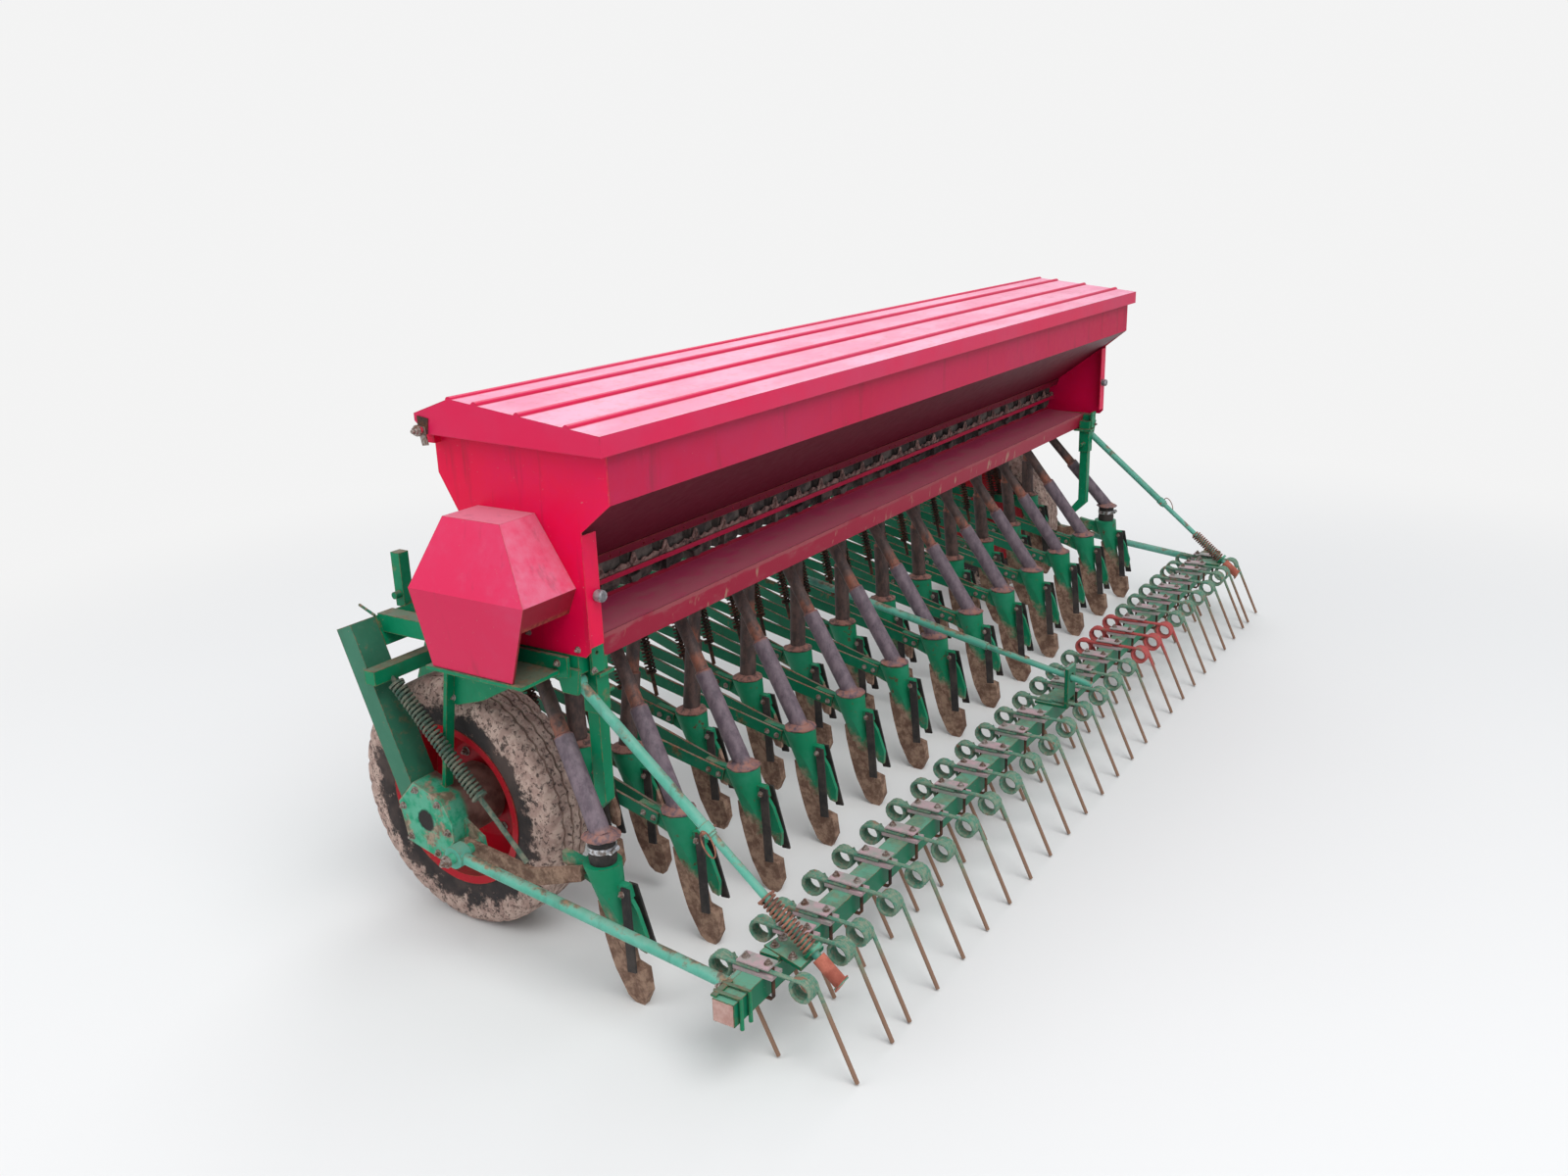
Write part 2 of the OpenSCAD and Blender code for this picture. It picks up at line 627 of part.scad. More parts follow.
// A tube with its dished flange on the coulter, its step and its collar under the seed cup
collar_h = 14;
module seed_tube(c, lift) {
    low = [c.x, c.y, c.z + lift + 4];
    row = abs(c.x) == front_outer_x ? sign(c.x) * 11 : c.x / row_pitch;
    high = [row * meter_pitch, meter_y, outlet_z - collar_h];
    length = norm(high - low);
    step = 0.52 * length;
    difference() {
        aimed(low, high) rotate(30) rotate_extrude() polygon([[0, -30], [tube_r, -30], [tube_r, step],
            [tube_top_r, step + 4], [tube_top_r, length + 15], [0, length + 15]]);
        translate([c.x - 70, c.y - 70, low.z - 72]) cube([140, 140, 70]);
        translate([high.x - 70, high.y - 70, high.z + 2]) cube([140, 140, 70]);
    }
    translate([c.x, c.y, c.z + lift]) cylinder(r1 = flange_r, r2 = tube_r + 8, h = 8);
    translate(high) cylinder(r = tube_top_r + 5, h = collar_h - seat);
}
module tubes_rear() color(tube_grey)
    for (x = rear_x) seed_tube([x, 0, coulter_top_z], abs(x) > boot_x - 1 ? boot_h + seat : 0);
module tubes_front() color(tube_grey)
    for (x = front_x) seed_tube([x, front_step, front_z(x)], 0);

// Rubber boots with their band between tube and coulter on the outer rows
module boots() color(rubber) both() translate([-boot_x, 0, coulter_top_z]) {
    cylinder(r = 27, h = boot_h);
    translate([0, 0, 26]) cylinder(r = 29, h = 14);
}

module tyre() color(rubber) translate([-tyre_out, axle_y, tyre_r]) rotate([0, 90, 0]) rotate_extrude($fn = 96) {
    w = tyre_w;
    difference() {
        polygon([[rim_r + 4, 12], [rim_r + 30, 3], [tyre_r - 40, 0], [tyre_r - 15, 5], [tyre_r - 3, 16],
            [tyre_r, w / 2], [tyre_r - 3, w - 16], [tyre_r - 15, w - 5], [tyre_r - 40, w], [rim_r + 30, w - 3],
            [rim_r + 4, w - 12]]);
        for (s = [0.3, 0.5, 0.7]) translate([tyre_r - 7, s * w - 2.5]) square([20, 5]);
    }
}

module rim() color(red) translate([-tyre_out, axle_y, tyre_r]) rotate([0, 90, 0]) rotate_extrude($fn = 96) {
    w = tyre_w;
    d = tyre_out - disc_x;
    polygon([[rim_r + 12, 4], [rim_r + 12, 9], [rim_r + 3, 11], [rim_r + 3, w - 11], [rim_r + 12, w - 9],
        [rim_r + 12, w - 4], [rim_r - 2, w - 6], [rim_r - 10, d + 16], [110, d + 5], [44, d + 5], [40, d + 25],
        [axle_r + run, d + 25], [axle_r + run, d - 6], [44, d - 6], [44, d], [110, d], [rim_r - 12, d + 10],
        [rim_r - 6, 6]]);
}
module tyre_left() tyre();
module rim_left() rim();
module tyre_right() mirror([1, 0, 0]) tyre();
module rim_right() mirror([1, 0, 0]) rim();

// Parking leg: square bar with its foot turned forwards
module stand() color(green) {
    translate([-leg_x - leg_side / 2, leg_y - leg_side / 2, leg_foot_z + 60])
        cube([leg_side, leg_side, leg_top_z - leg_foot_z - 60]);
    along_x(-leg_x - leg_side / 2, -leg_x + leg_side / 2) polygon([
        [leg_y - leg_side / 2, leg_foot_z + 61], [leg_y - leg_side / 2, leg_foot_z + 40],
        [leg_y + foot_out - 18, leg_foot_z], [leg_y + foot_out, leg_foot_z + 14],
        [leg_y + leg_side / 2, leg_foot_z + 52], [leg_y + leg_side / 2, leg_foot_z + 61]]);
}
module stand_left() stand();
module stand_right() mirror([1, 0, 0]) stand();

module harrow_beam() color(green)
    along_x(-beam_len / 2, beam_len / 2) translate([hb_y, hb_z]) difference() {
        square(beam_side, center = true);
        square(beam_side - 8, center = true);
    }

// evenly spaced, but the two at each end stand in beside the lower arm and the link's bracket
tine_xs = [for (i = [0 : tine_count - 1]) -tine_x0 + i * 2 * tine_x0 / (tine_count - 1) +
    (i == 0 ? 38 : i == 1 ? tine_shift : i == tine_count - 2 ? -tine_shift : i == tine_count - 1 ? -55 : 0)];
beam_top = hb_z + beam_side / 2;
module harrow_clamps() color(zinc)
    for (x = tine_xs) if (abs(x - mid_x) > 50)
        translate([x - 17, hb_y - 42, beam_top + seat]) cube([34, 84, 7]);

// One tine: straight shank on the beam, coil and leg to the ground; dir is 1 ahead and -1 behind
module tine(dir, c, foot) {
    shank_z = beam_top + 7 + 2 * seat + wire_r;
    top_z = shank_z;
    cz = top_z - coil_r;
    cy = hb_y + dir * c;
    translate([-15.4, cy, cz]) rotate([0, 90, 0]) coil(coil_r, wire_r + 0.6, 4, 7.7);
    rod(-10, [hb_y + dir * 20, shank_z], [cy, top_z], wire_r, $fn = 8);
    rod(10, [cy - coil_r, cz], [foot, wire_r], wire_r, $fn = 8);
}
module tines_front() color(green) for (x = tine_xs) translate([x, 0, 0]) tine(1, 74, hb_y - 30);
module tines_rear() color(green) for (x = tine_xs) translate([x + 6, 0, 0]) tine(-1, 92, -tine_reach + wire_r);

// Lower arms with their clamp plates on the beam
module harrow_arms() color(mint) both() difference() {
    union() {
        rod(-harrow_arm_x, [pin_y, pin_z], [hb_y + beam_side / 2 + 7, hb_z + 4], lower_arm_r);
        x_rod(-harrow_arm_x - 15, -harrow_arm_x + 15, [pin_y, pin_z], 24);
        translate([-harrow_arm_x - 40, hb_y + beam_side / 2 + seat, hb_z - 26]) cube([80, 10, 48]);
    }
    x_rod(-harrow_arm_x - 20, -harrow_arm_x + 20, [pin_y, pin_z], pin_r + run);
}

// Brackets that the spring rods pass through: a plate on a packer with a tilted ring at each side, and a
// cranked plate in the middle that straddles a tine
ring_t = 8;
module link_bracket() {
    u = (link_eye - link_top) / span(link_eye, link_top);
    difference() {
        union() {
            translate([-link_x, 0, beam_top + 5]) linear_extrude(8)
                polygon([[-42, hb_y - 74], [37, hb_y - 74], [32, hb_y + 12], [-14, hb_y + 22]]);
            rod(-link_x, link_eye - (ring_t - 2) * u, link_eye + 2 * u, 20);
        }
        rod(-link_x, link_eye - 60 * u, link_eye + 60 * u, rod_r + 4);
    }
    translate([-link_x - 32, hb_y - 20, beam_top + seat]) cube([16, 40, 10]);
}
module link_brackets() color(green) {
    both() link_bracket();
    difference() {
        translate([mid_x - 28, hb_y - 60, beam_top + seat]) cube([56, 90, 7]);
        rod(mid_x, mid_eye - 0.2 * (mid_top - mid_eye), mid_top, rod_r + 5);
    }
    difference() {
        translate([mid_x - 28, mid_eye[0] - 5, beam_top + 1]) cube([56, 10, mid_eye[1] - beam_top + 29]);
        rod(mid_x, mid_eye - 0.2 * (mid_top - mid_eye), mid_top, rod_r + 5);
        translate([mid_x - 21, mid_eye[0] - 10, beam_top]) cube([42, 20, 24]);
    }
}

// Upper link: tube, rod through the bracket and stop sleeve below it
module upper_link(x) {
    u = (link_eye - link_top) / span(link_eye, link_top);
    difference() {
        union() {
            rod(x, link_top, link_top + 390 * u, 10.8);
            rod(x, link_top + 362 * u, link_top + 384 * u, 13);
            x_rod(x - 10, x + 10, link_top, 15.6);
        }
        x_rod(x - 20, x + 20, link_top, 8 + run);
    }
    rod(x, link_top + 380 * u, link_eye + 70 * u, rod_r);
    rod(x, link_eye + 14 * u, link_eye + 74 * u, 13);
    rod(x, link_eye + 72 * u, link_eye + 75 * u, 17);
}
module link_left() color(mint) upper_link(-link_x);
module link_right() color(mint) upper_link(link_x);
module link_middle() color(mint) {
    u = (mid_eye - mid_top) / span(mid_eye, mid_top);
    difference() {
        union() {
            rod(mid_x, mid_top, mid_top + 780 * u, 10.8);
            x_rod(mid_x - 10, mid_x + 10, mid_top, 15);
        }
        x_rod(mid_x - 20, mid_x + 20, mid_top, 8 + run);
    }
    rod(mid_x, mid_top + 770 * u, mid_eye + 60 * u, rod_r);
}

spring_len = 118;
module link_spring(x) {
    u = (link_eye - link_top) / span(link_eye, link_top);
    along_line(x, link_eye - (spring_len + ring_t) * u, link_eye) coil(14, 2.6, 14, spring_len / 14);
}
module spring_left() color(rust) link_spring(-link_x);
module spring_right() color(rust) link_spring(link_x);

// Moves the working datum to the part's own origin
module placed() { translate([0, -y_mid, 0]) children(); }

placed() rear_sheet();
placed() front_sheet();
placed() hopper_ends();
placed() agitator();
placed() metering_units();
placed() feed_shaft();
placed() shutters();
placed() meter_strips();
placed() tray();
placed() gear_cover();
placed() lid();
placed() front_beam();
placed() wheel_arms();
placed() side_frames();
placed() hub_boxes();
placed() headstock();
placed() pivot_shaft();
placed() pressure_shaft();
placed() pressure_springs();
placed() coulter_bodies();
placed() coulter_shoes();
placed() coulter_strips();
placed() arms_rear();
placed() arms_front();
placed() outer_arms();
placed() tubes_rear();
placed() tubes_front();
placed() boots();
placed() tyre_left();
placed() rim_left();
placed() tyre_right();
placed() rim_right();
placed() stand_left();
placed() stand_right();
placed() harrow_beam();
placed() harrow_clamps();
placed() tines_front();
placed() tines_rear();
placed() harrow_arms();
placed() link_brackets();
placed() link_left();
placed() link_right();
placed() link_middle();
placed() spring_left();
placed() spring_right();
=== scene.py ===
from math import cos, pi, radians, sin, tau

import bmesh
import bpy
from mathutils import Matrix, Vector, noise


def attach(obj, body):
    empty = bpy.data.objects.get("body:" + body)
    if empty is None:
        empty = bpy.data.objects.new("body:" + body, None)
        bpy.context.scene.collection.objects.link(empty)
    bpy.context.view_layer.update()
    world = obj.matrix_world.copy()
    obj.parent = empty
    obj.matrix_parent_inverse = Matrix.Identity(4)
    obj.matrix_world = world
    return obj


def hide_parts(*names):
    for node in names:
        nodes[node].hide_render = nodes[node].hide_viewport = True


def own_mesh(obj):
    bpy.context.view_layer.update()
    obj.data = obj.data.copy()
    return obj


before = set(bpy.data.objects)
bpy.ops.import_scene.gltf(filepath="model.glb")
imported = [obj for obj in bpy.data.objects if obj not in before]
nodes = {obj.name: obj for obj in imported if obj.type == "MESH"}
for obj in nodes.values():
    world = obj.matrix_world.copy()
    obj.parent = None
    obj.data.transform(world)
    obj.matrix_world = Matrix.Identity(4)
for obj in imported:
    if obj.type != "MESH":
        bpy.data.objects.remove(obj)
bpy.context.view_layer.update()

# Camera: it stands a little behind and to the left of the machine at eye height, looks slightly
# down and leans by a small roll. Its place and turn were worked out from the row pitch.
camera = bpy.data.objects.new("camera", bpy.data.cameras.new("camera"))
camera.data.sensor_width = 36
focal_pixels, picture_width = 1313, 1600
camera.data.lens = camera.data.sensor_width * focal_pixels / picture_width
camera.data.clip_end = 60
yaw, pitch, roll = radians(57.069), radians(17.526), radians(-1.830)
heading = Matrix.Rotation(-yaw, 4, "Z") @ Matrix.Rotation(pi / 2 - pitch, 4, "X")
aim = heading @ Matrix.Rotation(roll, 4, "Z")
viewpoint = (-3.0911, -1.6226, 1.5230)
camera.matrix_world = Matrix.Translation(viewpoint) @ aim
bpy.context.scene.collection.objects.link(camera)
bpy.context.scene.camera = camera


# Hopper: folded sheet steel in a thick red enamel that has dulled, chipped along its edges and taken
# years of dust and seed dressing; the rear sheet's darker red is painted shade. Every finish on the machine
# is made with these two classes.
class Wire:
    """A value inside a finish, so that shader maths is written as an expression."""

    def __init__(self, finish, socket):
        self.finish = finish
        self.socket = socket

    def join(self, operation, first, second):
        return self.finish.add("Math", {"operation": operation}, first, second)

    def __add__(self, other):
        return self.join("ADD", self, other)

    def __sub__(self, other):
        return self.join("SUBTRACT", self, other)

    def __rsub__(self, other):
        return self.join("SUBTRACT", other, self)

    def __mul__(self, other):
        return self.join("MULTIPLY", self, other)

    def __abs__(self):
        return self.join("ABSOLUTE", self, 0)

    def over(self, other):
        return self.join("MAXIMUM", self, other)

    __radd__ = __add__


class Finish:
    """One material. add() makes a node and returns its output."""

    def __init__(self, name, slot, **fixed):
        self.slot = slot
        self.material = bpy.data.materials.new(name)
        self.material.use_nodes = True
        self.tree = self.material.node_tree
        self.shader = self.tree.nodes["Principled BSDF"]
        for socket, value in fixed.items():
            self.shader.inputs[socket.replace("_", " ")].default_value = value

    def plug(self, socket, value):
        if isinstance(value, Wire):
            self.tree.links.new(value.socket, socket)
        else:
            socket.default_value = value

    def add(self, kind, settings=None, *values, out=0, **named):
        node = self.tree.nodes.new("ShaderNode" + kind)
        for key, value in (settings or {}).items():
            setattr(node, key, value)
        for key, value in [*enumerate(values), *named.items()]:
            self.plug(node.inputs[key], value)
        return Wire(self, node.outputs[out])

    def coordinates(self, stretch=(1, 1, 1)):
        where = self.add("TexCoord", None, out="Object")
        return self.add("Mapping", None, where, Scale=stretch)

    def cloud(self, scale, detail=4, rough=0.6, stretch=(1, 1, 1)):
        where = self.coordinates(stretch)
        return self.add("TexNoise", None, where, Scale=scale, Detail=detail, Roughness=rough)

    def step(self, value, low, high):
        """0 where value is below low, 1 where it is above high."""
        return self.add("MapRange", {"interpolation_type": "SMOOTHSTEP"}, value, low, high)

    def mix(self, amount, first, second):
        return self.add("Mix", {"data_type": "RGBA"}, amount, out=2, A=first, B=second)

    def facing(self, axis=2):
        """How far the surface faces along an axis of its own body, so that a swung lid keeps its paint."""
        normal = self.add("TexCoord", None, out="Normal")
        return self.add("SeparateXYZ", None, normal, out=axis)

    def place(self, axis=2):
        """Where the point lies along an axis, in metres."""
        return self.add("SeparateXYZ", None, self.coordinates(), out=axis)

    def from_axle(self):
        """How far the point lies from the line through both wheels' middles."""
        where = self.coordinates((0, 1, 1))
        return self.add("VectorMath", {"operation": "DISTANCE"}, where, axle, out=1)

    def band(self, value, middle, half, soft):
        """1 where value is within half of the middle, then soft to 0."""
        return 1 - self.step(abs(value - middle), half, half + soft)

    def edges(self, radius):
        """1 along sharp edges, 0 on flats."""
        normal = self.add("NewGeometry", None, out="True Normal")
        rounded = self.add("Bevel", {"samples": 4}, radius)
        dot = self.add("VectorMath", {"operation": "DOT_PRODUCT"}, rounded, normal, out=1)
        return self.step(1 - dot, 0.02, 0.16)

    def dress(self, colour, rough, relief=None, depth=0.001, **more):
        """The shader's own inputs. Relief is a height, and depth how far it rises."""
        self.plug(self.shader.inputs["Base Color"], colour)
        self.plug(self.shader.inputs["Roughness"], rough)
        if relief is not None:
            bump = self.add("Bump", None, Height=relief, Distance=depth, Strength=1.0)
            self.plug(self.shader.inputs["Normal"], bump)
        for socket, value in more.items():
            self.plug(self.shader.inputs[socket.replace("_", " ")], value)
        return self


def tone(red, green, blue):
    """A colour given in 0 to 255 as it looks on a screen."""
    return tuple((v / 255 / 12.92 if v < 10.3 else ((v / 255 + 0.055) / 1.055) ** 2.4)
                 for v in (red, green, blue)) + (1,)


axle = (0, 0.324, 0.280)
dust = tone(150, 122, 112)
grime = tone(58, 44, 40)
dry_mud = tone(176, 152, 126)
rust_dark = tone(92, 48, 34)
rust_orange = tone(156, 92, 62)


def enamel(name, slot, fresh, faded, dusty, chipped, gloss=0.34, stained=0.0, flat=None, painted_shade_under=None):
    """Old machine paint: faded in patches, dusty on top, chipped to rust at its edges and stained where
    it is flat. Faces that look up can have a paint of their own, and faces that look down a darker one as
    painted shade."""
    f = Finish(name, slot, Specular_IOR_Level=0.2)
    broad = f.cloud(2.2, 3)
    fine = f.cloud(38, 5, 0.65)
    paint = f.mix(f.step(broad + (fine - 0.5) * 0.4, 0.38, 0.72), fresh, faded)
    if flat:
        paint = f.mix(f.step(f.facing() + (fine - 0.5) * 0.3, 0.35, 0.7), paint, flat)
    if painted_shade_under:
        # Faces that look down take the darker paint given for them: painted shade.
        paint = f.mix(f.step(0 - f.facing(), 0.1, 0.4), paint, painted_shade_under)
    settled = f.step(f.facing() + (fine - 0.5) * 0.8, 0.35, 1.1) * dusty
    paint = f.mix(settled, paint, dust)
    streaks = f.step(f.cloud(26, 4, 0.6, (1, 1, 0.12)), 0.56, 0.74) * 0.3
    paint = f.mix(streaks, paint, grime)
    specks = f.step(f.cloud(150, 2, 0.7), 0.70, 0.76) * 0.4
    paint = f.mix(specks, paint, tone(186, 150, 142))
    stains = f.step(f.cloud(19, 5, 0.7) + f.facing() * 0.12, 0.58, 0.70) * stained
    rubbed = f.edges(0.004) * (f.cloud(60, 4, 0.7) * 1.5)
    chips = f.step(rubbed + f.cloud(14, 6, 0.75) * 0.35, 0.72, 0.86) * chipped
    bare = f.mix(f.step(f.cloud(90, 3), 0.4, 0.6), rust_dark, rust_orange)
    rough = f.step(fine + settled + chips, 0.0, 2.2) * 0.5 + gloss
    relief = f.cloud(6, 3) * 0.5 - chips * 0.5 + fine * 0.06
    return f.dress(f.mix(chips.over(stains), paint, bare), rough, relief=relief, depth=0.0012)


def wear(names, finish):
    for name in names:
        nodes[name].data.materials.clear()
        nodes[name].data.materials.append(finish.material)


red = enamel("red_enamel", "red_paint", tone(226, 0, 66), tone(222, 8, 78), 0.25, 0.5)
wear(["hopper_ends", "front_sheet"], red)
# The rear sheet and the meter strips wear a darker copy of the red, which is painted shade, and faces that
# look down get a still darker red, also painted shade.
rear_red_painted_shade = enamel("rear_enamel_painted_shade", "red_paint", tone(190, 16, 66), tone(186, 34, 78), 0.4, 0.5, 0.4,
                  painted_shade_under=tone(92, 14, 34))
wear(["rear_sheet", "meter_strips"], rear_red_painted_shade)

# Lid: the same sheet, bleached to pink on top by the sun, with its rolled ribs worn back to redder
# paint. The ribs run the length of the lid at four places across it.
f = Finish("lid_enamel", "red_paint", Specular_IOR_Level=0.3)
across = f.place(1)
rib_places, rib_half, rib_soft = (0.103, -0.001, -0.115, 0.167), 0.008, 0.006
ribs = f.band(across, rib_places[0], rib_half, rib_soft)
for place in rib_places[1:]:
    ribs = ribs.over(f.band(across, place, rib_half, rib_soft))
blotch = f.cloud(9, 5, 0.65, (0.35, 1, 1))
bleached = f.mix(f.step(blotch, 0.36, 0.66), tone(230, 138, 166), tone(238, 166, 190))
bleached = f.mix(f.step(f.cloud(48, 4, 0.7), 0.50, 0.68) * 0.4, bleached, tone(190, 122, 128))
top = f.step(f.facing() + (blotch - 0.5) * 0.1, 0.62, 0.85)
skirt = f.mix(f.step(f.cloud(3), 0.35, 0.7), tone(214, 10, 74), tone(204, 40, 86))
lid_paint = f.mix(top * (1 - ribs * 0.8), skirt, bleached)
chips = f.step(f.edges(0.004) * f.cloud(60, 4, 0.7) * 1.5 + f.cloud(14, 6, 0.75) * 0.35, 0.74, 0.86) * 0.4
f.dress(f.mix(chips, lid_paint, rust_dark), top * 0.16 + 0.36, relief=f.cloud(5, 3), depth=0.0015)
wear(["lid"], f)

# Drive cover: a welded sheet box bolted to its shelf, faded on its sloping top like the lid.
# Its faces that look down get a darker red: painted shade.
cover_red = enamel("cover_enamel", "red_paint", tone(218, 30, 84), tone(214, 56, 100), 0.2, 0.5,
                   flat=tone(226, 124, 152), painted_shade_under=tone(140, 24, 44))
wear(["gear_cover"], cover_red)

# Tray: its floor catches spilt seed, dirt has been washed down its lip, and along its crease the pale dirt
# colour is both washed-in dirt and a painted highlight on the crease's edge.
f = Finish("tray_enamel", "red_paint", Specular_IOR_Level=0.3)
crease_z, lip_low, lip_high = 0.693, 0.672, 0.692
# The crease band puts more of the pale dirt colour along the crease: a painted highlight there as well as
# dirt.
crease_highlight = f.band(f.place(2), crease_z, 0.003, 0.006)
dirt_and_highlight = f.step(f.cloud(30, 5, 0.7, (0.5, 1, 1)) + crease_highlight * 0.25, 0.52, 0.76)
tray_paint = f.mix(f.step(f.facing(), 0.3, 0.9), tone(158, 20, 54), tone(186, 62, 100))
tray_paint = f.mix(dirt_and_highlight * 0.45, tray_paint, tone(164, 112, 112))
on_lip = 1 - f.step(f.place(2), lip_low, lip_high)
splash = f.step(f.cloud(40, 3, 0.6, (1, 1, 0.25)), 0.62, 0.7) * on_lip * 0.6
tray_paint = f.mix(splash, tray_paint, dry_mud)
chips = f.step(f.edges(0.003) * f.cloud(50, 4, 0.7) * 1.5, 0.62, 0.8) * 0.6
f.dress(f.mix(chips, tray_paint, rust_dark), 0.5 + dirt_and_highlight * 0.3, relief=f.cloud(8, 3), depth=0.001)
wear(["tray"], f)

# Seed shutters and cups: lips brown with dust, the shutters' other faces near-black as painted shade in the
# hollows, and behind them cast cups whose dull zinc is painted darker as painted shade. The feed shaft and
# the agitator share the cups' finish.
f = Finish("shutter_dust_and_painted_shade", "dark_red")
# Faces that do not look up are painted near-black, painted shade for the hollows under the lips; faces that
# look up take dust.
settled = f.step(f.facing() + (f.cloud(50, 5, 0.7) - 0.5) * 1.6, -0.25, 0.25)
f.dress(f.mix(settled, tone(52, 30, 32), tone(158, 126, 118)), 0.85, relief=f.cloud(90, 4), depth=0.001)
wear(["shutters"], f)


def weathered(name, slot, dark, light, scale=24, rough=0.85, metal=0.0, grain=220, depth=0.0008):
    """Two colours in patches over a rough skin."""
    f = Finish(name, slot, Metallic=metal)
    patches = f.step(f.cloud(scale, 5, 0.7), 0.38, 0.64)
    return f.dress(f.mix(patches, dark, light), rough, relief=f.cloud(grain, 4, 0.7), depth=depth)


# The cups, the feed shaft and the agitator are painted darker than their own dull metal: painted shade.
cup_zinc_painted_shade = weathered("cup_zinc_painted_shade", "zinc", tone(50, 43, 42), tone(104, 94, 88), 16, 0.8)
wear(["metering_units", "feed_shaft", "agitator"], cup_zinc_painted_shade)

# Frame: heavy box section, flat plate and hitch in green enamel, brighter on its sides, dull and
# rust-stained where water lies on it. The wheel arms' duller copy of this green is painted shade; the other
# arms, the links and the harrow's beam each have a green of their own.
green = enamel("green_enamel", "green_paint", tone(0, 122, 82), tone(20, 138, 98), 0.3, 0.7, stained=0.35,
               flat=tone(74, 116, 92))
wear(["front_beam", "side_frames", "headstock", "pressure_shaft", "stand_left", "stand_right"], green)
# A darker, duller copy of the frame's green for the wheel arms: painted shade for their rear faces.
web_green_painted_shade = enamel("web_enamel_painted_shade", "green_paint", tone(52, 112, 88), tone(64, 124, 100), 0.3, 0.8,
                   stained=0.3, flat=tone(70, 108, 88))
wear(["wheel_arms"], web_green_painted_shade)
arm_green = enamel("arm_enamel", "green_paint", tone(10, 108, 76), tone(40, 120, 92), 0.5, 0.8, stained=0.6,
                   flat=tone(92, 112, 92))
wear(["arms_rear", "arms_front"], arm_green)
mint = enamel("mint_enamel", "mint_paint", tone(84, 164, 142), tone(122, 190, 172), 0.3, 0.8, stained=0.7)
wear(["harrow_arms", "link_left", "link_right", "link_middle"], mint)
beam_green = enamel("beam_enamel", "green_paint", tone(8, 104, 74), tone(20, 120, 86), 0.15, 0.8,
                    stained=0.3, flat=tone(88, 160, 134))
wear(["harrow_beam", "link_brackets"], beam_green)

# Hub boxes: the housings beside the wheels, bare and rusted on the wheel's side, patched with rust
# elsewhere, with a dark oily middle.
f = Finish("hub_enamel", "mint_paint", Specular_IOR_Level=0.3)
patch = f.step(f.cloud(13, 5, 0.65) + f.edges(0.008) * 0.1, 0.52, 0.60)
bare_to, painted_from = 1.425, 1.44
rusted = 1 - f.step(abs(f.place(0)) + (f.cloud(24) - 0.5) * 0.03, bare_to, painted_from)
coat = f.mix(f.step(f.cloud(30), 0.4, 0.6), tone(28, 146, 108), tone(84, 166, 136))
patch_rust = f.mix(f.step(f.cloud(70), 0.4, 0.6), tone(120, 88, 74), tone(166, 134, 116))
bare_rust = f.mix(f.step(f.cloud(24, 5), 0.35, 0.65), tone(96, 68, 60), tone(134, 104, 94))
coat = f.mix(rusted, f.mix(patch * 0.85, coat, patch_rust), bare_rust)
oil = 1 - f.step(f.from_axle() + (f.cloud(60) - 0.5) * 0.01, 0.020, 0.026)
oil = oil * f.step(abs(f.facing(0)), 0.8, 0.9)
f.dress(f.mix(oil, coat, tone(34, 30, 28)), 0.6, relief=f.cloud(30, 5) - oil * 2, depth=0.002)
wear(["hub_boxes"], f)

# Rims: pressed steel, the same red, chipped and muddy.
rim_red = enamel("rim_enamel", "red_paint", tone(176, 4, 30), tone(150, 18, 34), 0.3, 0.8, stained=0.5)
wear(["rim_left", "rim_right"], rim_red)

# Coulters: cast funnels with green paint left on their flanks, worn to mud on the leading edge from
# mid-height down. The front row hangs higher, and its outer two higher still.
f = Finish("coulter_enamel", "green_paint", Specular_IOR_Level=0.3)
in_front = f.step(f.place(1), 0.02, 0.04)
outer = f.step(abs(f.place(0)), 1.16, 1.19)
rear_back, front_ahead, front_rise, outer_rise = 0.12, 0.228, 0.042, 0.076
level = f.place(2) - in_front * front_rise - in_front * outer * outer_rise
ahead = f.place(1) + rear_back - in_front * front_ahead
blot = f.cloud(26, 5, 0.7)
soil = f.step(0.205 - level + ahead * 0.9 + (blot - 0.5) * 0.16, -0.02, 0.035)
coat = f.mix(f.step(f.cloud(12), 0.4, 0.62), tone(0, 124, 84), tone(30, 132, 96))
coat = f.mix(f.step(f.cloud(34, 5, 0.7) + f.edges(0.003) * 0.12, 0.60, 0.70), coat, rust_dark)
crust = f.mix(f.step(f.cloud(44, 5, 0.7), 0.38, 0.62), tone(116, 88, 74), tone(164, 134, 116))
f.dress(f.mix(soil, coat, crust), 0.5 + soil * 0.4, relief=f.cloud(70, 5) * soil, depth=0.004)
wear(["coulter_bodies"], f)
caked = weathered("caked_mud", "muddy_iron", tone(108, 80, 66), tone(160, 130, 110), 40, 0.95, 0, 90, 0.004)
wear(["coulter_shoes", "outer_arms"], caked)
black = weathered("dusty_rubber", "black_rubber", tone(30, 28, 28), tone(62, 54, 50), 20, 0.75)
wear(["coulter_strips"], black)
dark_rust = weathered("spring_rust", "rusty_steel", tone(52, 38, 34), tone(100, 64, 46), 30, 0.8, 0.2)
wear(["pivot_shaft"], dark_rust)
clamp_zinc = weathered("clamp_finish", "mint_paint", tone(190, 158, 164), tone(150, 156, 148), 20, 0.7, 0.1)
wear(["harrow_clamps"], clamp_zinc)
bolt_zinc = weathered("bolt_zinc", "zinc", tone(112, 84, 70), tone(168, 160, 154), 90, 0.5, 0.6)


# Tyres: small implement tyres with three wavy grooves and notched shoulders, caked with dry mud on
# the tread. They are turned shapes, as most pieces below are, and gathered by this class.
middle_y = 120


def spot(x, y, z):
    """A point given in millimetres from the rear coulters, as in the part's source."""
    return Vector((x, y - middle_y, z)) / 1000


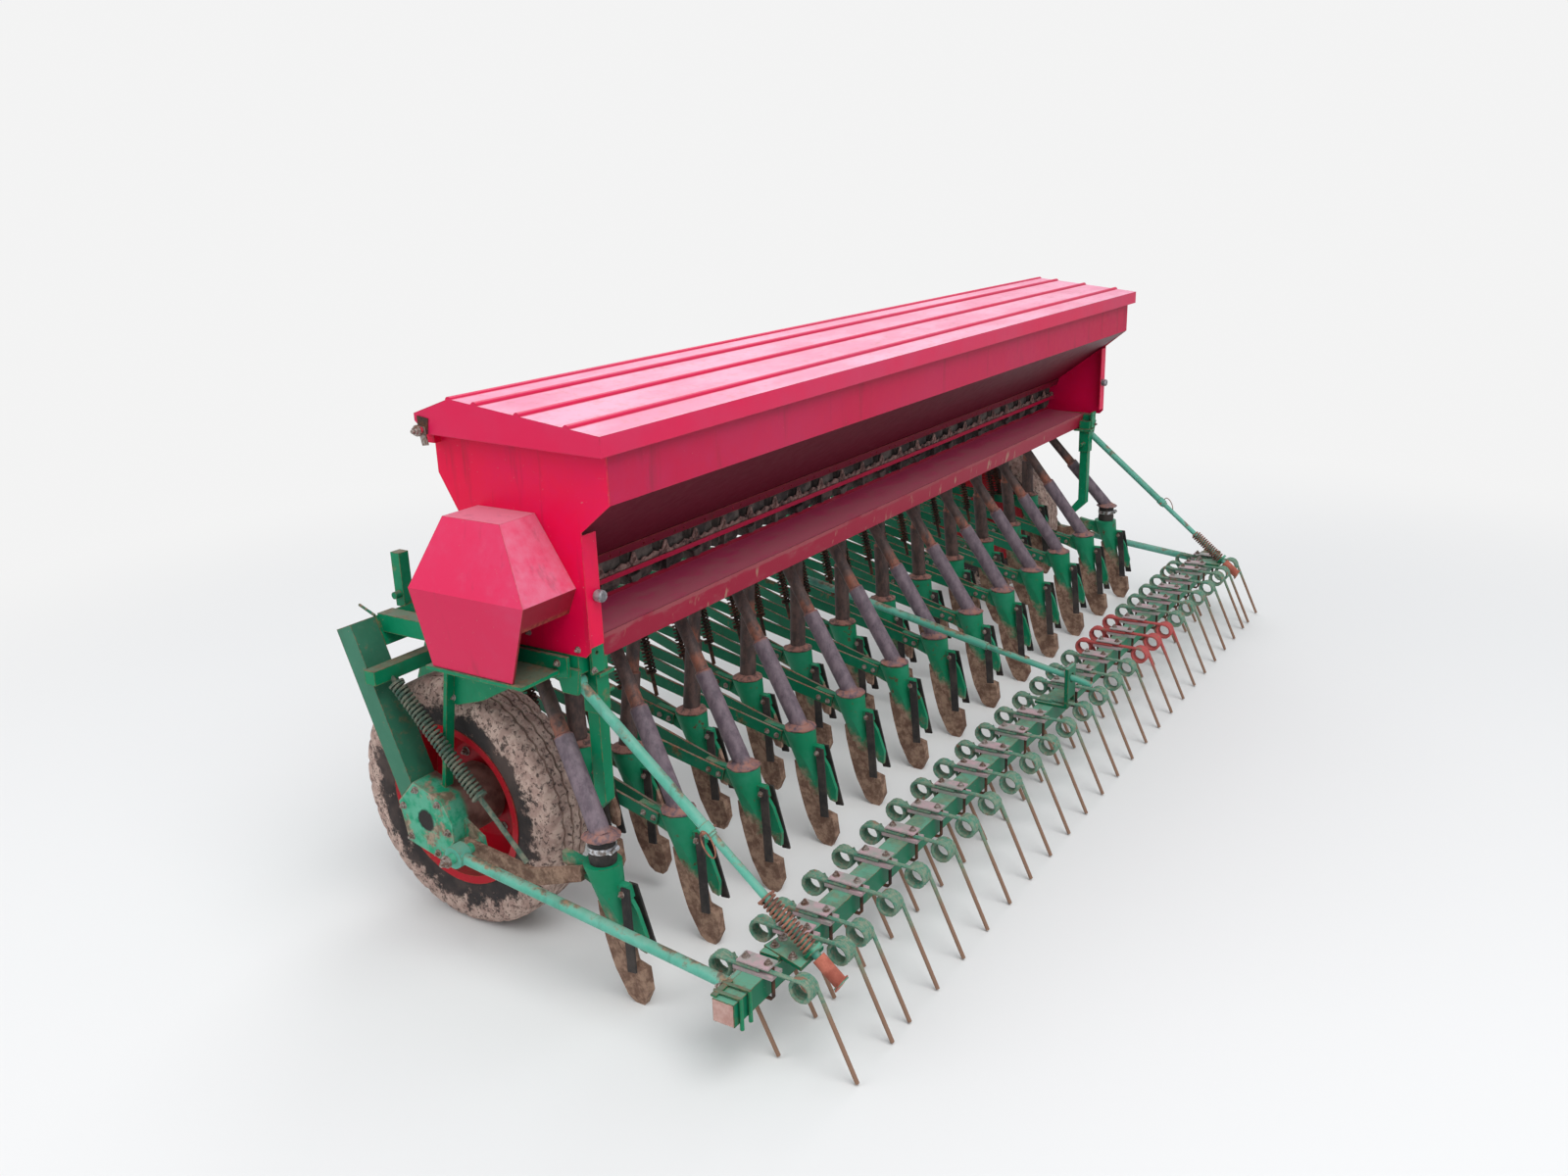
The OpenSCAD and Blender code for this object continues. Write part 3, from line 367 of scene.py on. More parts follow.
class Shape:
    """Points and faces in metres that are gathered and then made into one piece."""

    def __init__(self):
        self.points = []
        self.faces = []
        self.marks = []

    def skin(self, rings, marks=None, caps=True):
        """Faces between rings of as many points each."""
        first, count = len(self.points), len(rings[0])
        for i, ring in enumerate(rings):
            self.points.extend(ring)
            self.marks.extend([marks[i] if marks else 0.0] * count)
        for i in range(len(rings) - 1):
            a, b = first + i * count, first + (i + 1) * count
            for j in range(count):
                k = (j + 1) % count
                self.faces.append((a + j, a + k, b + k, b + j))
        if caps:
            self.faces.append(tuple(range(first + count - 1, first - 1, -1)))
            self.faces.append(tuple(range(len(self.points) - count, len(self.points))))

    def turned(self, profile, start, end, steps=24, waver=None, marks=None, caps=True):
        """Profile of (along, radius) pairs turned about the line from start towards end."""
        axis = (end - start).normalized()
        side = axis.orthogonal().normalized()
        other = axis.cross(side)
        rings = []
        for along, radius in profile:
            ring = []
            for i in range(steps):
                turn = tau * i / steps
                a, r = waver(along, radius, turn) if waver else (along, radius)
                ring.append(start + axis * a + (side * cos(turn) + other * sin(turn)) * r)
            rings.append(ring)
        self.skin(rings, marks, caps)

    def wire(self, path, radius, sides=6):
        """A round wire along a path."""
        side = (path[1] - path[0]).orthogonal()
        rings = []
        for i, point in enumerate(path):
            along = (path[min(i + 1, len(path) - 1)] - path[max(i - 1, 0)]).normalized()
            side = (side - along * side.dot(along)).normalized()
            other = along.cross(side)
            rings.append([point + (side * cos(tau * j / sides) + other * sin(tau * j / sides)) * radius
                          for j in range(sides)])
        self.skin(rings)

    def prism(self, outline, start, end):
        """An outline of points pushed from start to end."""
        self.skin([[p + start for p in outline], [p + end for p in outline]])

    def plate(self, low, high):
        """A block between two corners."""
        self.prism([Vector((low.x, low.y, 0)), Vector((high.x, low.y, 0)), Vector((high.x, high.y, 0)),
                    Vector((low.x, high.y, 0))], Vector((0, 0, low.z)), Vector((0, 0, high.z)))

    def thing(self, name, finish):
        """The gathered mesh as an object, its faces outward and its edges sharp past 35 degrees."""
        mesh = bpy.data.meshes.new(name)
        mesh.from_pydata(self.points, [], self.faces)
        mesh.attributes.new("mark", "FLOAT", "POINT").data.foreach_set("value", self.marks)
        skin = bmesh.new()
        skin.from_mesh(mesh)
        bmesh.ops.recalc_face_normals(skin, faces=skin.faces)
        skin.to_mesh(mesh)
        skin.free()
        mesh.materials.append(finish.material)
        mesh.shade_smooth()
        mesh.set_sharp_from_angle(angle=radians(35))
        item = bpy.data.objects.new(name, mesh)
        bpy.context.scene.collection.objects.link(item)
        return item

    def piece(self, name, body, finish, *replaced):
        """The gathered mesh as a piece of the machine, riding on a body."""
        item = self.thing(name, finish)
        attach(item, body)
        if replaced:
            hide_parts(*replaced)
        return item


f = Finish("tyre_mud", "tyre_rubber")
crust = f.step(f.cloud(30, 7, 0.74) + f.step(f.from_axle(), 0.200, 0.262) * 0.30, 0.57, 0.67)
crust = crust * (1 - f.step(f.cloud(90, 6, 0.85), 0.545, 0.60) * 0.85)
cake = f.mix(f.step(f.cloud(40, 4), 0.4, 0.6), tone(164, 136, 126), tone(190, 164, 152))
worn = f.mix(f.step(f.cloud(8, 4), 0.4, 0.6), tone(44, 38, 38), tone(78, 64, 60))
tyre_finish = f.dress(f.mix(crust, worn, cake), 0.85, relief=f.cloud(60, 5) * 0.4 + crust, depth=0.0025)
rim_r, tyre_r, tyre_w = 0.170, 0.280, 0.125
axle_y, axle_z = 444, 280
tyre_outside, tyre_inside, tread_steps = 1405, 1280, 180
groove, groove_r = 0.0028, tyre_r - 0.0075
tread = [(0.016, tyre_r - 0.003), (0.026, tyre_r - 0.0012)]
for middle, crown in ((0.0375, 0.0008), (0.0625, 0.0), (0.0875, 0.0008)):
    tread += [(middle - groove, tyre_r - crown), (middle - groove * 0.6, groove_r),
              (middle + groove * 0.6, groove_r), (middle + groove, tyre_r - crown)]
tread += [(0.099, tyre_r - 0.0012), (0.109, tyre_r - 0.003)]
sidewall = [(0.012, rim_r + 0.004), (0.006, rim_r + 0.012), (0.003, rim_r + 0.030), (0.0012, rim_r + 0.034),
            (0.0012, rim_r + 0.037), (0.0, rim_r + 0.041), (0.0, tyre_r - 0.040), (0.002, tyre_r - 0.026),
            (0.005, tyre_r - 0.015), (0.009, tyre_r - 0.008)]
tyre_profile = sidewall + tread + [(tyre_w - a, r) for a, r in reversed(sidewall)]


def tread_waver(along, radius, turn):
    """Grooves wander from side to side and the shoulders are notched."""
    step = round(turn / tau * tread_steps)
    if 0.030 < along < 0.095:
        along += 0.0022 * (1, 0.3, -1, -0.3)[step % 4]
    elif radius > tyre_r - 0.016 and step % 6 == 0:
        radius -= 0.0045
    return along, radius


for side, way in (("left", -1), ("right", 1)):
    tyre = Shape()
    outside = spot(way * tyre_outside, axle_y, axle_z)
    inside = spot(way * tyre_inside, axle_y, axle_z)
    tyre.turned(tyre_profile, outside, inside, tread_steps, tread_waver, caps=False)
    tyre.skin([tyre.points[-tread_steps:], tyre.points[:tread_steps]], caps=False)
    tyre.piece("tyre_tread_" + side, "wheel_" + side, tyre_finish, "tyre_" + side)


# Bolts: hexagon heads on washers, one pattern set by geometry nodes on every place that has one.
def repeater():
    """Geometry nodes that set a piece on every point, turned and sized by the point's own attributes."""
    tree = bpy.data.node_groups.new("repeater", "GeometryNodeTree")
    for name, kind, way in (("Points", "Geometry", "INPUT"), ("Piece", "Object", "INPUT"),
                            ("Finish", "Material", "INPUT"), ("Result", "Geometry", "OUTPUT")):
        tree.interface.new_socket(name, in_out=way, socket_type="NodeSocket" + kind)
    source = tree.nodes.new("NodeGroupInput")
    info = tree.nodes.new("GeometryNodeObjectInfo")
    setter = tree.nodes.new("GeometryNodeInstanceOnPoints")
    joined = tree.nodes.new("GeometryNodeRealizeInstances")
    painted = tree.nodes.new("GeometryNodeSetMaterial")
    result = tree.nodes.new("NodeGroupOutput")
    for attribute, socket in (("turn", "Rotation"), ("size", "Scale")):
        reader = tree.nodes.new("GeometryNodeInputNamedAttribute")
        reader.data_type = "FLOAT_VECTOR"
        reader.inputs["Name"].default_value = attribute
        tree.links.new(reader.outputs["Attribute"], setter.inputs[socket])
    for output, socket in ((source.outputs["Points"], setter.inputs["Points"]),
                           (source.outputs["Piece"], info.inputs["Object"]),
                           (info.outputs["Geometry"], setter.inputs["Instance"]),
                           (setter.outputs["Instances"], joined.inputs["Geometry"]),
                           (joined.outputs["Geometry"], painted.inputs["Geometry"]),
                           (source.outputs["Finish"], painted.inputs["Material"]),
                           (painted.outputs["Geometry"], result.inputs["Result"])):
        tree.links.new(output, socket)
    return tree


repeats = repeater()
origin = Vector((0, 0, 0))
up = Vector((0, 0, 1))


def repeat(name, pattern, places, body, finish, *replaced):
    """One piece of a pattern set on many places, each a point, a direction for its Z and a size."""
    points = bpy.data.meshes.new(name)
    points.from_pydata([p for p, toward, size in places], [], [])
    turns = [tuple(up.rotation_difference(Vector(toward)).to_euler()) for p, toward, size in places]
    widths = [(size,) * 3 for p, toward, size in places]
    for attribute, values in (("turn", turns), ("size", widths)):
        layer = points.attributes.new(attribute, "FLOAT_VECTOR", "POINT")
        layer.data.foreach_set("vector", [v for value in values for v in value])
    holder = bpy.data.objects.new(name + "_points", points)
    bpy.context.scene.collection.objects.link(holder)
    seed = pattern.thing(name + "_seed", finish)
    modifier = holder.modifiers.new("repeat", "NODES")
    modifier.node_group = repeats
    wanted = {"Piece": seed, "Finish": finish.material}
    for item in repeats.interface.items_tree:
        if item.name in wanted:
            modifier[item.identifier] = wanted[item.name]
    ready = holder.evaluated_get(bpy.context.evaluated_depsgraph_get())
    mesh = bpy.data.meshes.new_from_object(ready)
    bpy.data.objects.remove(holder)
    bpy.data.objects.remove(seed)
    piece = bpy.data.objects.new(name, mesh)
    bpy.context.scene.collection.objects.link(piece)
    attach(piece, body)
    if replaced:
        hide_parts(*replaced)


bolt = Shape()
bolt.turned([(-0.001, 0.0085), (0.0012, 0.0085), (0.0016, 0.0078)], origin, up, 16)
bolt.turned([(0.001, 0.0062), (0.0055, 0.0062), (0.0064, 0.0052)], origin, up, 6)
bolt.turned([(0.006, 0.0034), (0.0095, 0.0034), (0.0105, 0.0028)], origin, up, 8)

row_pitch, cup_pitch = 120, 112
rear_rows, booted_x, raised_x, front_y = 13, 12 * row_pitch, 1236, 228
coulters = [(2 * i * row_pitch, 0, 290) for i in range(-6, 7)]
coulters += [((2 * i + 1) * row_pitch, front_y, 332) for i in range(-5, 5)]
coulters += [(-raised_x, front_y, 408), (raised_x, front_y, 408)]
sprung = [c for c in coulters if abs(c[0]) < booted_x]
arm_start, arm_run, shaft_y, shaft_z = 46, 614, 660, 410


def arm_ends(x, y):
    """Where the left and right bars of an arm pair meet the pivot shaft, sideways from the coulter:
    straight ahead at the machine's ends, drawn inwards next to them and spread elsewhere."""
    if abs(x) > 1200:
        return -12, 12
    if y < 1 and abs(x) > 1080:
        shift = 24 if x > 0 else -24
        return -30 - shift, 30 - shift
    return -44, 44


frame_bolts = []
for x, y, z in sprung:
    for way, end in zip((-1, 1), arm_ends(x, y)):
        for along in (56, 82):
            side = x + way * 15.4 + (end - way * 12) * along / arm_run
            rise = (along - arm_start) * 0.24
            frame_bolts.append((spot(side, y + along, z - 28 + rise), (way, 0, 0), 0.8))
for x, y, z in coulters:
    for way in (-1, 1):
        frame_bolts.append((spot(x + way * 16.3, y - 54, z - 50), (way, 0, 0.1), 0.8))
rail_x, end_plate_x, hub_x, hitch_lean = 1423, 1409, 1480, 0.38
for way in (-1, 1):
    for y, z in ((90, 674), (240, 674), (376, 674), (384, 548)):
        frame_bolts.append((spot(way * rail_x, y, z), (way, 0, 0), 0.9))
    for y, z in ((48, 703), (170, 718), (290, 703)):
        frame_bolts.append((spot(way * end_plate_x, y, z), (way, 0, 0), 0.8))
    for y, z in ((466, 345), (404, 326), (382, 268), (418, 212), (494, 232), (508, 300)):
        frame_bolts.append((spot(way * hub_x, y, z), (way, 0, 0), 1.0))
    for x, z in ((400, 655), (400, 632), (180, 655), (180, 632), (340, 655)):
        frame_bolts.append((spot(way * x, 638 + (z - 632) * hitch_lean, z), (0, 1, -hitch_lean), 1.3))
for x in (-1500, -1440):
    for y in (112, 316):
        frame_bolts.append((spot(x, y, 651.5), (0, 0, -1), 0.9))
for way in (-1, 1):
    frame_bolts.append((spot(way * 1455, 362, 1100), (way, 0, 0), 1.3))
    frame_bolts.append((spot(way * 1533, 335, 240), (way, 0, 0), 1.6))
    frame_bolts.append((spot(way * 1382, 37, 655), (0, -1, 0), 0.8))
repeat("frame_bolts", bolt, frame_bolts, "frame", bolt_zinc)
studs_r, stud_count = 92, 6
for side, way in (("left", -1), ("right", 1)):
    studs = []
    for i in range(stud_count):
        turn = tau * i / stud_count
        y, z = axle_y + studs_r * cos(turn), axle_z + studs_r * sin(turn)
        for x, face in ((1310, 1), (1305, -1)):
            studs.append((spot(way * x, y, z), (way * face, 0, 0), 1.3))
    repeat("wheel_nuts_" + side, bolt, studs, "wheel_" + side, bolt_zinc)


# Springs: wound wire dark with rust on the pressure rods, and long springs beside the wheels that
# still have some grey-green paint.
def helix(start, end, radius, turns, steps=12):
    """A path that winds from start to end."""
    axis = (end - start).normalized()
    side = axis.orthogonal().normalized()
    other = axis.cross(side)
    count = round(turns * steps)
    path = []
    for i in range(count + 1):
        turn = tau * i / steps
        path.append(start.lerp(end, i / count) + (side * cos(turn) + other * sin(turn)) * radius)
    return path


wound = Shape()
wound.wire(helix(Vector((0, 0, 0.003)), Vector((0, 0, 0.194)), 0.0115, 21), 0.0025, 5)
heads = []
rods = Shape()
rod_foot_y = 345
for x, y, z in sprung:
    share = (rod_foot_y - y - arm_start) / (shaft_y - y - arm_start)
    bar_x = x + 12 + (arm_ends(x, y)[1] - 12) * share
    bar_z = z - 28 + (shaft_z - z + 28) * share
    head, foot = spot(bar_x, 398, 590), spot(bar_x, rod_foot_y, bar_z + 18)
    heads.append((head, foot - head, 1))
    rods.turned([(0, 0.005), ((foot - head).length, 0.005)], head, foot, 10)
    for along in (0, 0.193):
        rods.turned([(along, 0.013), (along + 0.004, 0.013)], head, foot, 16)
rods.piece("spring_rods", "frame", dark_rust, "pressure_springs")
long_springs = Shape()
for way in (-1, 1):
    top, low, foot = (spot(way * 1460, y, z) for y, z in ((505, 566), (300, 362), (184, 244)))
    long_springs.wire(helix(top, low, 0.0135, 30), 0.003, 6)
    long_springs.wire([top + (top - low).normalized() * 0.02, foot], 0.0055, 8)
    for end, other in ((top, low), (low, top)):
        long_springs.turned([(-0.003, 0.017), (0.002, 0.017)], end, other, 16)
side_paint = weathered("side_spring_paint", "rusty_steel", tone(60, 88, 76), tone(116, 116, 100), 50)
long_springs.piece("side_springs", "frame", side_paint)
repeat("pressure_coils", wound, heads, "frame", dark_rust)

# Link springs: each is squeezed between a pin in its rod and the bracket on the harrow beam, and the
# rod ends below the bracket in a red tube with a thin washer.
orange_rust = weathered("orange_rust", "rusty_steel", tone(104, 70, 60), tone(166, 110, 88), 40, 0.8)
oxide = weathered("red_oxide", "rusty_steel", tone(150, 76, 60), tone(188, 108, 88), 24, 0.75)
link_x, link_top, link_eye = 1392, (70, 630), (-440, 205)
spring_pin, top_pin, pin_half = 0.537, 0.376, 0.024
across = Vector((1, 0, 0))
for side, way in (("left", -1), ("right", 1)):
    top, eye = spot(way * link_x, *link_top), spot(way * link_x, *link_eye)
    down = (eye - top).normalized()
    high, low = eye - down * 0.124, eye - down * 0.0095
    coil = Shape()
    coil.wire(helix(high, low, 0.0145, 14, 14), 0.0026, 6)
    spring = coil.piece("link_coil_" + side, "link_" + side, orange_rust, "spring_" + side)
    "link_" + side + "_swing"
    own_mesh(spring)
    pins = Shape()
    for place in (spring_pin, top_pin):
        middle = top + down * place
        pins.wire([middle - across * pin_half, middle + across * pin_half], 0.003, 8)
    pins.turned([(0.534, 0.0125), (0.5375, 0.0125)], top, eye, 20)
    loop = top + down * top_pin + across * way * pin_half
    ring = [up * sin(t) + down * (1 - cos(t)) for t in (tau * i / 24 for i in range(25))]
    pins.wire([loop + point * 0.021 for point in ring], 0.0016)
    pins.piece("link_pins_" + side, "link_" + side, orange_rust)
    sleeve = Shape()
    length = (eye - top).length
    sleeve.turned([(length + 0.0135, 0.0135), (length + 0.0745, 0.0135)], top, eye, 24)
    tilt = (down + up * 0.25).normalized()
    disc = eye + down * 0.074
    sleeve.turned([(-0.001, 0.0182), (0.0012, 0.0185)], disc, disc + tilt, 24)
    sleeve.piece("link_sleeve_" + side, "link_" + side, oxide)


# Tines: spring wire wound in four turns behind and ahead of the beam, green worn to rust, with red
# ones in one place. Each row is one pattern repeated along the beam.
beam_y = -365


def tine_path(way, foot_y):
    """A tine from the beam round its coil and down to the ground, way 1 ahead of the beam, -1 behind."""
    shank, radius, half = 194.1, 21, 13
    coil_y, coil_z = beam_y + (74 if way > 0 else -92), shank - radius
    turns = 3.9 if way > 0 else 4.25
    count = round(turns * 14)
    path = [spot(-half, beam_y - way * 14, shank), spot(-half, beam_y + way * 20, shank)]
    for i in range(count + 1):
        turn = tau * turns * i / count
        shift = -half + 2 * half * i / count
        path.append(spot(shift, coil_y + way * radius * sin(turn), coil_z + radius * cos(turn)))
    last = path[-1]
    foot = spot(half, foot_y, 4)
    path += [last.lerp(foot, t) for t in (0.12, 0.5, 0.93)] + [foot]
    return path


f = Finish("tine_enamel", "mint_paint")
coat = f.mix(f.step(f.cloud(130, 5), 0.32, 0.72), tone(66, 130, 108), tone(136, 142, 122))
red_x, red_half = 0.54, 0.15
coat = f.mix(f.band(f.place(0), red_x, red_half, 0.01), coat, tone(176, 76, 74))
low_down = 1 - f.step(f.place(2) + (f.cloud(20) - 0.5) * 0.08, 0.10, 0.17)
coat = f.mix(low_down.over(f.step(f.cloud(34), 0.6, 0.68)), coat, tone(136, 104, 84))
tine_finish = f.dress(coat, 0.7, relief=f.cloud(200), depth=0.0006)
tine_x = [-1462, -1330, *(row_pitch * i - row_pitch // 2 for i in range(-10, 12)), 1330, 1445]
for name, way, shift, foot_y in (("front", 1, 0, -395), ("rear", -1, 6, -556)):
    tine = Shape()
    tine.wire(tine_path(way, foot_y), 0.0043, 7)
    places = [(Vector(((x + shift) / 1000, 0, 0)), up, 1) for x in tine_x]
    repeat("tine_wires_" + name, tine, places, "harrow", tine_finish, "tines_" + name)

# Clamps: each tine pair is held by a plate and a U-bolt round the beam, but for the pair under the
# middle link's bracket.
harrow_bolts = []
clamp = Shape()
bow = ((-33, 199), (-33, 140), (-28, 133), (28, 133), (33, 140), (33, 199))
clamp.wire([spot(0, beam_y + y, z) for y, z in bow], 0.0036, 8)
middle_link_x = -55
clamp_x = [x for x in tine_x if abs(x - middle_link_x) > 50]
repeat("clamp_bows", clamp, [(Vector((x / 1000, 0, 0)), up, 1) for x in clamp_x], "harrow", dark_rust)
cover = Shape()
cover.plate(Vector((-0.017, -0.034, 0)), Vector((0.017, 0.034, 0.003)))
repeat("clamp_plates", cover, [(spot(x, beam_y, 200.3), up, 1) for x in clamp_x], "harrow", clamp_zinc)
for x in clamp_x:
    for y in (-389, -341):
        harrow_bolts.append((spot(x, y, 203), (0, 0, 1), 0.95))
for way in (-1, 1):
    for x in (1473, 1529):
        for z in (144, 176):
            harrow_bolts.append((spot(way * x, -332, z), (0, 1, 0), 1.1))
    for x, y in ((1414, -410), (1399, -362), (1372, -362)):
        harrow_bolts.append((spot(way * x, y, 195.5), (0, 0, 1), 1.1))
repeat("harrow_bolts", bolt, harrow_bolts, "harrow", bolt_zinc)

# Beam ends: two square U-bolts at each end with a strip between them, and a pink-primed end cap.
ends = Shape()
caps = Shape()
for way in (-1, 1):
    for x in (1527, 1554):
        ends.wire([spot(way * x, beam_y + y, 160 + z) for y, z in
                   ((-27, -34), (-27, 27), (27, 27), (27, -34))], 0.0042, 8)
    strip_x = sorted((way * 1515, way * 1567))
    ends.plate(spot(strip_x[0], -349, 183), spot(strip_x[1], -337, 187))
    cap_x = sorted((way * 1570, way * 1571.5))
    caps.plate(spot(cap_x[0], -386, 139), spot(cap_x[1], -344, 181))
ends.piece("beam_bows", "harrow", green)
faded_oxide = weathered("faded_oxide", "rusty_steel", tone(176, 134, 124), tone(196, 162, 152))
caps.piece("beam_caps", "harrow", faded_oxide)

# Seed tubes: rubber hose in two widths with a dished, torn flange on the coulter and a collar under
# the cup, purple-grey below and brown above, with an orange band of rust at the step. The front row's
# are brown all along.
f = Finish("tube_rubber", "tube_plastic")
along = f.add("Attribute", {"attribute_name": "mark"}, out=2)
mottle = f.cloud(60, 5, 0.7, (1, 1, 0.5))
hose = f.mix(f.step(mottle, 0.3, 0.7), tone(84, 70, 80), tone(122, 106, 114))
upper = f.mix(f.step(mottle, 0.35, 0.68), tone(62, 48, 46), tone(98, 74, 68))
hose = f.mix(f.step(along, 0.57, 0.60), hose, upper)
hose = f.mix(f.step(f.place(1), 0.03, 0.05) * (1 - f.step(f.place(2), 0.52, 0.56)), hose, upper)
rust_band = f.band(along + (f.cloud(30) - 0.5) * 0.08, 0.60, 0.04, 0.06) * f.step(mottle, 0.30, 0.66)
hose = f.mix(rust_band * 0.85, hose, tone(148, 86, 64))
base = (1 - f.step(along, 0.0, 0.035)) * f.step(mottle, 0.35, 0.6)
hose = f.mix(base, hose, tone(150, 104, 92))
tube_finish = f.dress(hose, 0.45 + mottle * 0.3, relief=mottle + f.cloud(150) * 0.3, depth=0.0003)
widths_meet, flange_edge = 0.52, 0.036
boot_height = 52.3


def tube(shape, x, y, low_z, top_x):
    """One hose from its coulter to its cup. The marks tell the finish how far up a point is."""
    low, high = spot(x, y, low_z + 4), spot(top_x, 236, 651)
    length = (high - low).length
    step = widths_meet * length
    profile = [(-0.004, 0.020), (0.02, 0.0205), (step * 0.5, 0.020), (step - 0.004, 0.020), (step, 0.0195),
               (step + 0.003, 0.0155), (step + 0.06, 0.015), (length * 0.8, 0.015), (length, 0.015)]
    marks = [min(1, max(0.0, a / length)) + (0.06 if a > step - 0.002 else 0) for a, r in profile]
    shape.turned(profile, low, high, 20, marks=marks)

    def torn(along, radius, turn):
        """The flange's rim is uneven, each in its own way."""
        if radius > flange_edge:
            radius += 0.0035 * noise.noise(Vector((x * 0.37, turn * 2.2, 3)))
            along += 0.0022 * noise.noise(Vector((turn * 1.7, x * 0.21, 9)))
        return along, radius

    foot = spot(x, y, low_z)
    shape.turned([(0.0004, 0.030), (0.0012, 0.037), (0.0034, 0.0374), (0.0046, 0.031), (0.0085, 0.026),
                  (0.012, 0.0215)], foot, foot + up, 28, torn, marks=[0.001] * 6)
    shape.turned([(0, 0.0195), (0.0125, 0.0195), (0.0136, 0.0180)], high, high + up, 20, marks=[0.9] * 3)


for name, row in (("rear", coulters[:rear_rows]), ("front", coulters[rear_rows:])):
    hoses = Shape()
    for x, y, z in row:
        top_x = x * cup_pitch / row_pitch
        if abs(x) == raised_x:
            top_x = 1232 if x > 0 else -1232
        tube(hoses, x, y, z + (boot_height if abs(x) == booted_x else 0), top_x)
    hoses.piece("hoses_" + name, "frame", tube_finish, "tubes_" + name)

# Boots: on the outer rows a black rubber boot joins tube and coulter, held by a bright worm clamp.
boots = Shape()
bands = Shape()
for way in (-1, 1):
    base = spot(way * booted_x, 0, 290)
    boots.turned([(0, 0.0265), (0.012, 0.028), (0.024, 0.0265), (0.045, 0.027), (0.050, 0.0275),
                  (0.052, 0.026)], base, base + up, 32)
    bands.turned([(0.026, 0.0268), (0.026, 0.0288), (0.0375, 0.0288), (0.0375, 0.0268)],
                 base, base + up, 36)
    screw = base + Vector((way * 0.004, -0.031, 0.032))
    bands.turned([(-0.012, 0.0045), (0.010, 0.0045), (0.010, 0.0062), (0.014, 0.0062)], screw,
                 screw + Vector((1, 0.15, 0)), 10)
boots.piece("tube_boots", "frame", black, "boots")
bright = Finish("worm_clamp", "zinc", Metallic=0.8)
shine = bright.mix(bright.step(bright.cloud(80), 0.45, 0.62), tone(206, 206, 210), tone(120, 110, 104))
bright.dress(shine, 0.35)
bands.piece("worm_clamps", "frame", bright)

# Slide knobs: ribbed grey knobs on the end plates' flanges.
knob_steps, knob_depth = 40, 0.035


def ribbed(along, radius, turn):
    """Every second point round the knob lies a little lower."""
    return along, radius * (1 - knob_depth * (round(turn / tau * knob_steps) % 2))


knobs = Shape()
knob_profile = [(0, 0.0105), (0.003, 0.0118), (0.015, 0.0118), (0.018, 0.0095)]
for way in (-1, 1):
    base = spot(way * 1380, 18, 806)
    knobs.turned(knob_profile, base, base - Vector((0, 1, 0)), knob_steps, ribbed)
knob_zinc = weathered("knob_zinc", "zinc", tone(104, 102, 106), tone(172, 170, 174), 60, 0.5, 0.3)
knobs.piece("slide_knobs", "frame", knob_zinc)

# Lid hinges: a rusty plate on the lid's end and a bright strap down to the hopper, on one bolt.
leaves = Shape()
straps = Shape()
leaf = [spot(0, y, z) for y, z in ((372, 1126), (344, 1122), (349, 1092), (372, 1088))]
strap = [spot(0, y, z) for y, z in ((371, 1108), (353, 1106), (346, 1072), (362, 1070))]
for way in (-1, 1):
    leaves.prism(leaf, across * way * 1.4412, across * way * 1.4436)
    straps.prism(strap, across * way * 1.4440, across * way * 1.4464)
leaves.piece("hinge_leaves", "lid", dark_rust)
straps.piece("hinge_straps", "frame", bolt_zinc)

# Welds: beads where the wheel arms meet the front beam and where the posts meet the hub boxes.
f = Finish("weld_paint", "green_paint")
bead_paint = f.mix(f.step(f.cloud(90), 0.45, 0.6), tone(14, 100, 70), tone(120, 96, 74))
f.dress(bead_paint, 0.6, relief=f.cloud(260), depth=0.001)
beads = Shape()
seams = (((1415.5, 601, 686), (1415.5, 646, 703)),
         ((1416, 372, 545), (1416, 394, 545)),
         ((1450, 372, 640), (1416, 372, 640)))
for way in (-1, 1):
    for seam in seams:
        start, end = (spot(way * x, y, z) for x, y, z in seam)
        ripple = [start.lerp(end, i / 16) + up * 0.0006 * (i % 2) for i in range(17)]
        beads.wire(ripple, 0.003, 6)
beads.piece("weld_beads", "frame", f)

